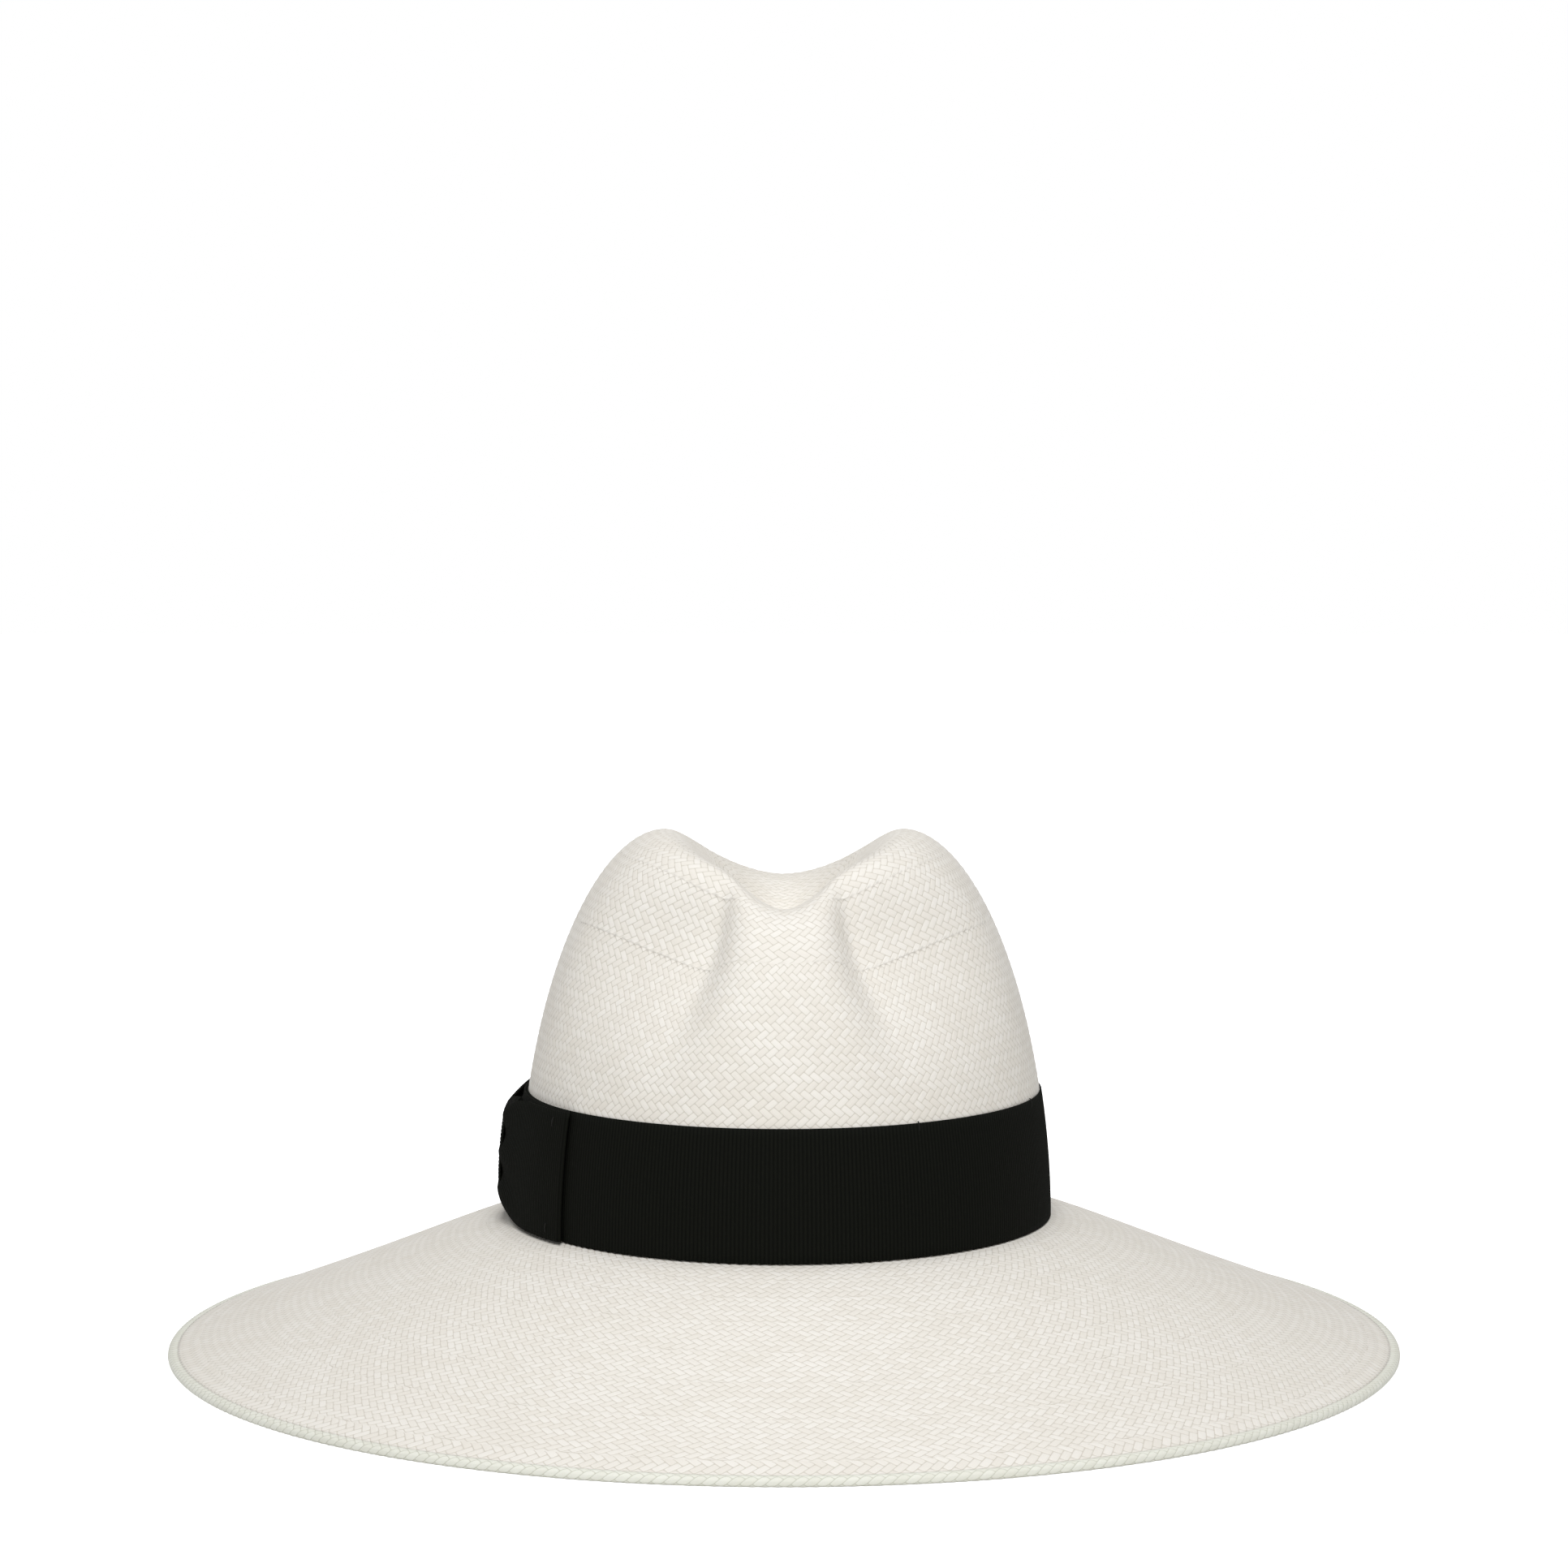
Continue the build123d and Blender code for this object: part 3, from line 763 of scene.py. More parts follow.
# side bow
bowShape = {
    "middle": 180.0,                         # degrees round the hat
    "reach": 37.5,
    "waist": 29.0,
    "nearEnd": 1.6,                          # the layers' distances off the wall
    "nearKnot": 2.5,
    "farEnd": 2.55,
    "farKnot": 6.3,
    "gatherStart": 3.6,
    "gatherSpread": 9.0,
    "loopStart": 1.2,
    "pleat": 0.75,                           # depth of the folds at the knot
    "pleats": 2.5,
    "sag": 0.5,                              # how far a loop's open middle leans out
    "cup": 0.35,                             # how far its edges draw in at the knot
    "backingNear": 0.86,
    "backingRib": 0.6,                       # its pressed cords, as a share of the ribbon's
}


def gatherAt(offMiddle):
    shape = bowShape
    spread = np.maximum(offMiddle - shape["gatherStart"], 0) / shape["gatherSpread"]
    return np.exp(-(spread ** 2))


def uprightWall(degrees, z, out):
    return wallSurface(np.radians(degrees), z, out)


def makeLoop(name, side):
    # out along the wall from the knot, round the fold and back over itself to the knot
    shape, cloth = bowShape, ribbonCloth
    foldOut = (shape["farEnd"] - shape["nearEnd"]) / 2
    perDegree = 2 * math.pi * crownHalf[1] / 360
    span = shape["reach"] - foldOut / perDegree - shape["loopStart"]
    straight = span * perDegree
    fold = math.pi * foldOut
    ribs = int(round((2 * straight + fold) / cloth["rib"]))
    steps = ribs * cloth["perRib"]
    number = np.arange(steps + 1) / cloth["perRib"]
    place = number / ribs * (2 * straight + fold)
    offMiddle = np.empty(steps + 1)
    layer = np.empty(steps + 1)              # 0 on the wall side, 1 on the outside
    for k, p in enumerate(place):
        if p < straight:
            offMiddle[k], layer[k] = shape["loopStart"] + p / perDegree, 0.0
        elif p < straight + fold:
            turn = (p - straight) / fold * math.pi
            offMiddle[k] = shape["loopStart"] + span + foldOut * math.sin(turn) / perDegree
            layer[k] = (1 - math.cos(turn)) / 2
        else:
            back = 2 * straight + fold - p
            offMiddle[k], layer[k] = shape["loopStart"] + back / perDegree, 1.0
    gather = gatherAt(offMiddle)
    width = np.linspace(-1, 1, cloth["rows"] + 7)
    low, high = bandLow + 0.3, bandHigh - 0.3
    middleZ = (low + high) / 2
    half = (high - low) / 2 + (shape["waist"] / 2 - (high - low) / 2) * gather
    z = middleZ + half[:, None] * width[None, :]
    near = shape["nearEnd"] + (shape["nearKnot"] - shape["nearEnd"]) * gather
    far = shape["farEnd"] + (shape["farKnot"] - shape["farEnd"]) * gather
    out = near + (far - near) * layer
    lean = np.sin(np.clip((offMiddle - 4) / (shape["reach"] - 4), 0, 1) * math.pi)
    out = out + shape["sag"] * lean * layer
    pleat = shape["pleat"] * gather ** 0.7 * layer
    wave = np.cos(math.pi * shape["pleats"] * width)[None, :] * pleat[:, None]
    cup = -shape["cup"] * (width[None, :] ** 2) * (gather * layer)[:, None]
    lift = ribLift(number, cloth["ribDepth"])[:, None]
    degrees = (shape["middle"] + side * offMiddle)[:, None] + 0 * width[None, :]
    middle = uprightWall(degrees, z, out[:, None] + wave + cup)
    # the ribbon's two faces, half its thickness each way
    normal = facesOf(np.gradient(middle, axis=0), np.gradient(middle, axis=1))
    half = cloth["thick"] / 2
    edge = np.exp(-(((1 - np.abs(width)) * 20 / cloth["edgeReach"]) ** 2))
    edge = edge[None, :, None] * cloth["edgeCord"] * 0.4
    front = middle + normal * (half + lift[:, :, None] + edge)
    back = middle - normal * (half + lift[:, :, None] + edge)
    ring = np.concatenate([front, back[:, ::-1]], axis=1)
    along = (roundWidth(width) + 1) * (bandHigh - bandLow) / 2
    return gridPiece(name, ring, False, True, number, along, caps=True)


frontLoop = makeLoop("bowFrontLoop", 1)
backLoop = makeLoop("bowBackLoop", -1)


def makeBacking():
    shape, cloth = bowShape, ribbonCloth
    start = math.radians(shape["middle"] - shape["reach"] + 0.4)
    end = math.radians(shape["middle"] + shape["reach"] - 0.4)
    angles, number = wallAngles(start, end, bandLow + 10)
    section = bandSection(bandLow + 0.2, bandHigh - 0.2, shape["backingNear"], cloth)
    lift = ribLift(number, cloth["ribDepth"] * shape["backingRib"])[:, None] * section[None, :, 2]
    points = wrapSection(angles, section, lift)
    return gridPiece("bowBacking", points, False, True, number, sectionWay(section, bandLow), caps=True)


backingPiece = makeBacking()

knotShape = {
    "halfAngle": 6.0,
    "halfWidth": 9.0,                        # half the ribbon's width
    "corner": 0.42,                          # small is square, 1 is round
    "near": 1.75,
    "stand": 7.3,
    "pleat": 0.32,
    "pleats": 2.0,
    "taper": 0.12,                           # its ends draw in a little behind
}


def makeKnot(shape):
    # ribbon wrapped round the loops' waist; its cords lie level
    cloth = ribbonCloth
    boxLow, boxHigh = nodeBox("bow_knot")
    middleZ = (boxLow[2] + boxHigh[2]) / 2
    halfHigh = (boxHigh[2] - boxLow[2]) / 2 - 0.1
    halfDeep = (shape["stand"] - shape["near"]) / 2
    length = 4 * halfHigh + 3 * halfDeep
    ribs = int(round(length / cloth["rib"]))
    steps = ribs * cloth["perRib"]
    number = np.arange(steps + 1) / cloth["perRib"]
    turn = np.linspace(0, fullTurn, 2881)
    z = middleZ + halfHigh * np.sign(np.sin(turn)) * np.abs(np.sin(turn)) ** (shape["corner"] * 1.6)
    out = halfDeep * np.sign(np.cos(turn)) * np.abs(np.cos(turn)) ** shape["corner"]
    run = np.concatenate([[0], np.cumsum(np.hypot(np.diff(z), np.diff(out)))])
    share = number[:-1] / ribs * run[-1]
    z, out = np.interp(share, run, z), np.interp(share, run, out)
    front = smoothStep(out / halfDeep * 0.5 + 0.5)
    width = np.linspace(-1, 1, 15)
    bulge = shape["pleat"] * np.cos(math.pi * shape["pleats"] * width)[None, :] * front[:, None]
    bulge = bulge - 0.5 * (width[None, :] ** 4) * front[:, None]
    half = shape["halfAngle"] * (1 - shape["taper"] * (1 - front))
    degrees = bowShape["middle"] + half[:, None] * width[None, :]
    middleOut = (shape["stand"] + shape["near"]) / 2 - 0.25
    middle = uprightWall(degrees, z[:, None] + 0 * degrees, middleOut + (out - 0.1)[:, None] + bulge)
    alongWay = np.roll(middle, -1, axis=0) - np.roll(middle, 1, axis=0)
    normal = facesOf(alongWay, np.gradient(middle, axis=1))
    outward = middle - middle.mean(axis=(0, 1))
    if (normal * outward).sum() < 0:
        normal = -normal
    lift = ribLift(number[:-1], cloth["ribDepth"])[:, None, None]
    frontFace = middle + normal * lift
    backFace = middle - normal * (cloth["thick"] + lift)
    ring = np.concatenate([frontFace, backFace[:, ::-1]], axis=1)
    along = (roundWidth(width) + 1) * shape["halfWidth"]
    return gridPiece("bowKnot", ring, True, True, number, along)


knotPiece = makeKnot(knotShape)
print("bow folded and knotted")

# thread
threadSize = {"radius": 0.2, "sides": 6, "rings": 7, "sink": 0.25}


def makeStitches(name, starts, ends, outward, stand):
    # each stitch rises out of the cloth, lies along it and dips back in
    t = np.linspace(0, 1, threadSize["rings"])
    rise = np.sin(math.pi * t) ** 0.5 * (stand + threadSize["sink"]) - threadSize["sink"]
    turn = np.arange(threadSize["sides"]) / threadSize["sides"] * fullTurn
    along = ends - starts
    length = np.linalg.norm(along, axis=1, keepdims=True)
    side = np.cross(along / length, outward)
    middle = starts[:, None, :] + along[:, None, :] * t[None, :, None]
    middle = middle + outward[:, None, :] * rise[None, :, None]
    spread = (side[:, None, None, :] * np.cos(turn)[None, None, :, None]
              + outward[:, None, None, :] * np.sin(turn)[None, None, :, None])
    points = middle[:, :, None, :] + spread * threadSize["radius"]
    count, rings, sides = points.shape[:3]
    index = np.arange(count * rings * sides).reshape(count, rings, sides)
    after = np.roll(index, -1, axis=2)
    quads = np.stack([index[:, :-1], after[:, :-1], after[:, 1:], index[:, 1:]], axis=-1).reshape(-1, 4)
    fans = []
    for ring, flip in ((index[:, 0], True), (index[:, -1], False)):
        for k in range(1, sides - 1):
            fan = np.stack([ring[:, 0], ring[:, k], ring[:, k + 1]], axis=1)
            fans.append(fan[:, ::-1] if flip else fan)
    tris = np.concatenate(fans)
    flat = points.reshape(-1, 3)
    if signedVolume(flat, quads, tris) < 0:
        quads, tris = quads[:, ::-1], tris[:, ::-1]
    lengthUv = np.broadcast_to((t[None, :, None] * length[:, :, None]), (count, rings, sides))
    pointUv = np.stack([lengthUv, np.broadcast_to(turn[None, None, :], lengthUv.shape)], axis=-1)
    corners = np.concatenate([quads.ravel(), tris.ravel()])
    return makeMesh(name, flat, quads, tris, pointUv.reshape(-1, 2)[corners])


hemSeam = {"count": 120, "length": 5.0, "reach": 7.0, "rise": 2.007, "slope": (0.343, 0.939)}


def makeHemStitches(seam):
    angles = (np.arange(seam["count"]) + 0.5) / seam["count"] * fullTurn
    half = seam["length"] / 2 / (hemBox[1][0] - seam["reach"])
    out = np.full(seam["count"], -seam["reach"])
    starts = hemRing(angles - half, out, np.full(seam["count"], seam["rise"]))
    ends = hemRing(angles + half, out, np.full(seam["count"], seam["rise"]))
    inX, inY = -np.cos(angles), -np.sin(angles)
    outward = np.stack([inX * seam["slope"][0], inY * seam["slope"][0],
                        np.full(len(angles), -seam["slope"][1])], axis=1)
    return makeStitches("hemThread", starts, ends, outward, 0.12)


def wallStitches(name, degrees, heights, length, off, upright):
    # upright stitches run up the wall, level ones run round it; off is the face they lie on
    angles, levels = [k.ravel() for k in np.meshgrid(np.radians(degrees), heights)]
    inX, inY = inwardAt(angles)
    facing = 1 if off > 0 else -1
    outward = np.stack([-inX, -inY, 0 * inX], axis=1) * facing
    offs = np.full(len(angles), float(off))
    if upright:
        starts = wallSurface(angles, levels - length / 2, offs)
        ends = wallSurface(angles, levels + length / 2, offs)
    else:
        half = length / 2 / crownHalf[1]
        starts = wallSurface(angles - half, levels, offs)
        ends = wallSurface(angles + half, levels, offs)
    return makeStitches(name, starts, ends, outward, 0.14)


tackShape = {"length": 3.0, "bandTurns": (-60.0, -20.0, 20.0, 60.0, 120.0), "bowTurns": (147.0, 213.0)}
hemThread = makeHemStitches(hemSeam)
bandTacks = wallStitches("hatbandThread", tackShape["bandTurns"], [bandHigh - 1.0],
                         tackShape["length"], 0.66, True)
bowTacks = wallStitches("bowThread", tackShape["bowTurns"], [bandLow + 3.6, bandHigh - 3.9],
                        tackShape["length"], 3.1, True)

# sweatband
leatherShape = {
    "near": -2.45,                           # distances off the wall; minus is inside the hat
    "far": -1.55,
    "rows": 18,
    "columns": 560,
    "slit": 0.17,                            # half the gap at the back, in degrees
    "wave": 0.12,
    "seam": 3.0,                             # stitch row above the lower edge
    "seamDip": 0.28,
    "seamSpread": 0.7,
    "wayRound": 560,
}


def makeSweatband(shape):
    low, high = leatherBox[0][2], leatherBox[1][2]
    slit = math.radians(shape["slit"])
    angles = np.linspace(math.pi / 2 + slit, math.pi / 2 + fullTurn - slit, shape["columns"])
    up = np.linspace(low, high, shape["rows"] + 1)
    thick = shape["far"] - shape["near"]
    dip = shape["seamDip"] * np.exp(-(((up - low - shape["seam"]) / shape["seamSpread"]) ** 2))
    face = np.stack([up, shape["near"] + dip], axis=1)
    face[0, 1] += 0.3
    face[-1, 1] += 0.22
    top = [[high + 0.02, shape["near"] + thick * 0.5]]
    back = np.stack([up[::-1], np.full(len(up), shape["far"])], axis=1)[::3]
    foot = [[low - 0.02, shape["near"] + thick * 0.6]]
    section = np.concatenate([face, top, back, foot])
    a = angles[:, None] + 0 * section[None, :, 0]
    lean = smoothStep((section[None, :, 0] - low) / (high - low)) * shape["wave"]
    ripple = lean * (np.sin(a * 9 + 0.6) + 0.5 * np.sin(a * 17 + 2.0))
    points = wrapSection(angles, section, ripple - lean * 1.6)
    around = evenSteps(shape["columns"]) * shape["wayRound"]
    along = sectionWay(section, low)
    return gridPiece("sweatbandLeather", points, False, True, around, along, caps=True)


sweatPiece = makeSweatband(leatherShape)
seamHeight = leatherBox[0][2] + leatherShape["seam"]
sweatThread = wallStitches("sweatbandThread", np.arange(72) * 5 + 2.5, [seamHeight],
                           4.0, leatherShape["near"] + 0.2, False)


tapeShape = {"columns": 600, "sides": 20, "ridges": 3, "ridge": 0.05, "wayRound": 570, "width": 6.0}


def makeTape(shape):
    # cotton tape sewn round the reed
    radius = (tapeBox[1][2] - tapeBox[0][2]) / 2
    middleZ = (tapeBox[1][2] + tapeBox[0][2]) / 2
    half = (tapeBox[1][0] - radius, tapeBox[1][1] - radius)
    columns, sides = shape["columns"], shape["sides"]
    angles = evenSteps(columns) * fullTurn + math.pi / 2
    turn = evenSteps(sides) * fullTurn
    ridge = radius * (1 + shape["ridge"] * np.cos(shape["ridges"] * turn)) - 0.06
    out = ridge * np.cos(turn)
    x = (half[0] + out[None, :]) * np.cos(angles)[:, None]
    y = (half[1] + out[None, :]) * np.sin(angles)[:, None]
    z = middleZ + (ridge * np.sin(turn))[None, :] + 0 * x
    around = np.arange(columns + 1) / columns * shape["wayRound"]
    return gridPiece("reedTape", np.stack([x, y, z], axis=-1), True, True, around,
                     np.arange(sides + 1) / sides * shape["width"])


tapePiece = makeTape(tapeShape)

# little bow over the leather's joint, and the size label
backBowShape = {"loop": 10.8, "height": 3.4, "thick": 0.28, "knotHalf": (1.7, 2.2)}


def makeBackBow(shape):
    low, high = backBowBox
    middleZ = (low[2] + high[2]) / 2
    deepest = high[1] - 0.25
    pieces = []
    for side, name in ((1, "backBowRight"), (-1, "backBowLeft")):
        t = np.linspace(0, 1, 57)
        reach = np.sin(math.pi * t) ** 0.75
        x = side * (0.3 + shape["loop"] * reach)
        depth = 0.15 + 1.0 * t + 0.25 * np.sin(2 * math.pi * t)
        width = np.linspace(-1, 1, 13)
        half = shape["height"] * (0.3 + 0.7 * reach ** 0.7)
        pucker = 0.12 * np.cos(3 * math.pi * width)[None, :] * (1 - reach)[:, None]
        middle = np.stack([
            x[:, None] + 0 * width[None, :],
            (deepest - depth)[:, None] + pucker,
            middleZ + half[:, None] * width[None, :],
        ], axis=-1)
        normal = facesOf(np.gradient(middle, axis=0), np.gradient(middle, axis=1))
        front = middle + normal * shape["thick"] / 2
        back = middle - normal * shape["thick"] / 2
        ring = np.concatenate([front, back[:, ::-1]], axis=1)
        along = roundWidth(width) * shape["height"]
        pieces.append(gridPiece(name, ring, False, True, t * 18, along, caps=True))
    halfX, halfZ = shape["knotHalf"]
    across = np.array([-1, -0.94, -0.8, -0.4, 0, 0.4, 0.8, 0.94, 1.0])
    size = np.sqrt(np.clip(1 - across ** 8, 0.12, 1))
    turn = evenSteps(24) * fullTurn
    y = np.sign(np.cos(turn)) * np.abs(np.cos(turn)) ** 0.6
    z = np.sign(np.sin(turn)) * np.abs(np.sin(turn)) ** 0.6
    knot = np.stack([
        across[:, None] * halfX + 0 * turn[None, :],
        (deepest - 0.75) + 0.85 * size[:, None] * y[None, :],
        middleZ + halfZ * size[:, None] * z[None, :],
    ], axis=-1)
    around = np.arange(25) / 24 * 9
    return pieces + [gridPiece("backBowKnot", knot, False, True, across * halfX, around, caps=True)]


backBow = makeBackBow(backBowShape)

labelShape = {"start": 110.0, "end": 120.0, "columns": 40, "rows": 30, "off": -2.62, "thick": 0.3,
              "hemRise": 0.08, "width": 15}


def makeLabel(shape):
    low, high = labelBox[0][2] + 0.1, labelBox[1][2] - 0.1
    angles = np.radians(np.linspace(shape["start"] + 0.1, shape["end"] - 0.1, shape["columns"]))
    up = np.linspace(low, high, shape["rows"])
    hem = np.exp(-(((np.minimum(up - low, high - up)) / 0.8) ** 2)) * shape["hemRise"]
    front = np.stack([up, shape["off"] - shape["thick"] + shape["hemRise"] - hem], axis=1)
    back = np.stack([up[::-1], np.full(len(up), shape["off"])], axis=1)[::4]
    section = np.concatenate([front, back])
    across = np.linspace(0, shape["width"], shape["columns"])
    return gridPiece("sizeLabel", wrapSection(angles, section, 0.0), False, True,
                     across, sectionWay(section, low), caps=True)


labelPiece = makeLabel(labelShape)
print("inside trimmed")

# materials
surfaceOutputs = [("Color", "NodeSocketColor"), ("Roughness", "NodeSocketFloat"),
                  ("Height", "NodeSocketFloat")]


def newGroup(name, inputs, outputs):
    group = bpy.data.node_groups.new(name, "ShaderNodeTree")
    for label, kind, value in inputs:
        socket = group.interface.new_socket(name=label, in_out="INPUT", socket_type=kind)
        if value is not None:
            socket.default_value = value
    for label, kind in outputs:
        group.interface.new_socket(name=label, in_out="OUTPUT", socket_type=kind)
    return group, group.nodes.new("NodeGroupInput"), group.nodes.new("NodeGroupOutput")


def place(tree, kind, **settings):
    node = tree.nodes.new(kind)
    for key, value in settings.items():
        setattr(node, key, value)
    return node


def feed(tree, socket, value):
    if isinstance(value, bpy.types.NodeSocket):
        tree.links.new(value, socket)
    else:
        socket.default_value = value


def sums(tree, operation, first, second=None, third=None):
    node = place(tree, "ShaderNodeMath", operation=operation)
    for socket, value in zip(node.inputs, (first, second, third)):
        if value is not None:
            feed(tree, socket, value)
    return node.outputs[0]


def blendColors(tree, share, first, second):
    node = place(tree, "ShaderNodeMix", data_type="RGBA")
    feed(tree, node.inputs["Factor"], share)
    feed(tree, node.inputs[6], first)
    feed(tree, node.inputs[7], second)
    return node.outputs[2]


def blendValues(tree, share, first, second):
    node = place(tree, "ShaderNodeMix", data_type="FLOAT")
    feed(tree, node.inputs["Factor"], share)
    feed(tree, node.inputs[2], first)
    feed(tree, node.inputs[3], second)
    return node.outputs[0]


def noiseOf(tree, vector, scale, detail):
    node = place(tree, "ShaderNodeTexNoise", noise_dimensions="3D")
    feed(tree, node.inputs["Vector"], vector)
    node.inputs["Scale"].default_value = scale
    node.inputs["Detail"].default_value = detail
    return node.outputs[0]


def stretchedNoise(tree, ways, scales, detail):
    # noise drawn out or pressed together along each of the weave's directions
    node = place(tree, "ShaderNodeCombineXYZ")
    for socket, way, scale in zip(node.inputs, ways, scales):
        feed(tree, socket, sums(tree, "MULTIPLY", way, scale))
    return noiseOf(tree, node.outputs[0], 1.0, detail)


def softenStep(tree, value, low, high):
    node = place(tree, "ShaderNodeMapRange", interpolation_type="SMOOTHSTEP")
    feed(tree, node.inputs["Value"], value)
    node.inputs["From Min"].default_value = low
    node.inputs["From Max"].default_value = high
    return node.outputs[0]


def putOut(group, result, *values):
    for socket, value in zip(result.inputs, values):
        feed(group, socket, value)
    return group


def weavePlace(group, given):
    # the two numbers of the weave layer
    split = place(group, "ShaderNodeSeparateXYZ")
    feed(group, split.inputs[0], given.outputs["Weave"])
    return split.outputs[0], split.outputs[1]


def makeStrawGroup():
    # height, colour and roughness of a two-over, two-under straw weave, with painted shade between the
    # strands
    group, given, result = newGroup(
        "strawWeave",
        [("Weave", "NodeSocketVector", None), ("Strand Tone", "NodeSocketFloat", 0.5),
         ("Pale", "NodeSocketColor", (0.9, 0.88, 0.82, 1)),
         ("Deep", "NodeSocketColor", (0.7, 0.65, 0.55, 1)),
         ("Gap", "NodeSocketColor", (0.4, 0.36, 0.29, 1)), ("Tone Range", "NodeSocketFloat", 0.5)],
        surfaceOutputs)
    calc = partial(sums, group)
    u, v = weavePlace(group, given)
    a = calc("SUBTRACT", u, v)
    b = calc("ADD", u, v)
    i, j = calc("FLOOR", a), calc("FLOOR", b)
    partA, partB = calc("FRACT", a), calc("FRACT", b)
    step = calc("FLOORED_MODULO", calc("SUBTRACT", j, i), 4.0)
    second = calc("GREATER_THAN", step, 1.5)
    across = blendValues(group, second, partA, partB)
    alongA = calc("MULTIPLY", calc("ADD", partB, step), 0.5)
    alongB = calc("MULTIPLY", calc("SUBTRACT", calc("ADD", partA, 3.0), step), 0.5)
    along = blendValues(group, second, alongA, alongB)
    sideways = calc("ABSOLUTE", calc("MULTIPLY_ADD", across, 2.0, -1.0))
    endways = calc("ABSOLUTE", calc("MULTIPLY_ADD", along, 2.0, -1.0))
    flatTop = calc("SUBTRACT", 1.0, calc("POWER", sideways, 4.0))
    tuck = calc("SUBTRACT", 1.0, calc("POWER", endways, 5.0))
    body = calc("MULTIPLY", flatTop, tuck)
    name = blendValues(group, second, i, calc("ADD", j, 0.37))
    run = blendValues(group, second, b, a)
    fibre = stretchedNoise(group, (across, run, name), (7.0, 0.55, 1.7), 3.0)
    mottle = stretchedNoise(group, (u, v), (0.11, 0.16), 3.0)
    tone = calc("MULTIPLY_ADD", calc("SUBTRACT", given.outputs["Strand Tone"], 0.5),
                given.outputs["Tone Range"], 0.5)
    tone = calc("ADD", tone, calc("MULTIPLY", calc("SUBTRACT", fibre, 0.5), 0.55))
    tone = calc("ADD", tone, calc("MULTIPLY", calc("SUBTRACT", mottle, 0.5), 0.6))
    tone = softenStep(group, tone, 0.05, 0.95)
    straw = blendColors(group, tone, given.outputs["Deep"], given.outputs["Pale"])
    # painted shade: where a strand's edges and tucked ends dip, its colour is blended toward the dark
    # gap colour, which stands in for the shade between strands
    gap = softenStep(group, body, 0.55, 0.02)
    color = blendColors(group, gap, straw, given.outputs["Gap"])
    roughness = blendValues(group, fibre, 0.5, 0.72)
    height = calc("MULTIPLY_ADD", fibre, 0.16, body)
    return putOut(group, result, color, roughness, height)


def makeRibbonGroup():
    # corded ribbon: u counts the cords, v runs along them in millimetres; its colour carries painted
    # shade in the grooves and painted highlight on the cord tops
    group, given, result = newGroup(
        "cordedRibbon",
        [("Weave", "NodeSocketVector", None), ("Ink", "NodeSocketColor", (0.01, 0.01, 0.01, 1)),
         ("Worn", "NodeSocketColor", (0.03, 0.03, 0.03, 1))],
        surfaceOutputs)
    calc = partial(sums, group)
    u, v = weavePlace(group, given)
    cord = calc("ABSOLUTE", calc("SINE", calc("MULTIPLY", u, math.pi)))
    warp = calc("ABSOLUTE", calc("SINE", calc("MULTIPLY", v, math.pi / 0.3)))
    odd = calc("MULTIPLY", calc("FLOOR", u), 0.5)
    shifted = calc("ADD", v, calc("MULTIPLY", calc("FRACT", odd), 0.3))
    other = calc("ABSOLUTE", calc("SINE", calc("MULTIPLY", shifted, math.pi / 0.3)))
    thread = calc("MULTIPLY", calc("ADD", warp, other), 0.5)
    lint = stretchedNoise(group, (u, v), (1.3, 0.9), 4.0)
    # painted shade and highlight: the colour is darkest in the grooves between cords and threads and
    # lighter on the cord tops; the lint noise adds random tone
    shade = calc("MULTIPLY", calc("POWER", cord, 0.7), calc("MULTIPLY_ADD", thread, 0.35, 0.65))
    shade = calc("MULTIPLY", shade, calc("MULTIPLY_ADD", lint, 0.9, 0.35))
    color = blendColors(group, shade, given.outputs["Ink"], given.outputs["Worn"])
    roughness = blendValues(group, lint, 0.7, 0.95)
    height = calc("MULTIPLY_ADD", thread, 0.3, cord)
    return putOut(group, result, color, roughness, height)


def makeGrainGroup():
    # leather pores and creases, or cloth fuzz when the cells are small
    group, given, result = newGroup(
        "fineGrain",
        [("Place", "NodeSocketVector", None), ("Dark", "NodeSocketColor", (0.2, 0.12, 0.07, 1)),
         ("Light", "NodeSocketColor", (0.4, 0.26, 0.16, 1)), ("Cells", "NodeSocketFloat", 900.0)],
        surfaceOutputs)
    calc = partial(sums, group)
    cells = place(group, "ShaderNodeTexVoronoi", feature="F1")
    feed(group, cells.inputs["Vector"], given.outputs["Place"])
    feed(group, cells.inputs["Scale"], given.outputs["Cells"])
    pores = softenStep(group, cells.outputs["Distance"], 0.05, 0.75)
    slow = noiseOf(group, given.outputs["Place"], 38.0, 4.0)
    fine = noiseOf(group, given.outputs["Place"], 420.0, 3.0)
    tone = calc("MULTIPLY_ADD", slow, 0.9, calc("MULTIPLY", fine, 0.35))
    tone = softenStep(group, calc("SUBTRACT", tone, calc("MULTIPLY", pores, 0.12)), 0.25, 0.9)
    color = blendColors(group, tone, given.outputs["Dark"], given.outputs["Light"])
    roughness = blendValues(group, fine, 0.42, 0.7)
    height = calc("MULTIPLY_ADD", fine, 0.4, calc("SUBTRACT", 1.0, pores))
    return putOut(group, result, color, roughness, height)


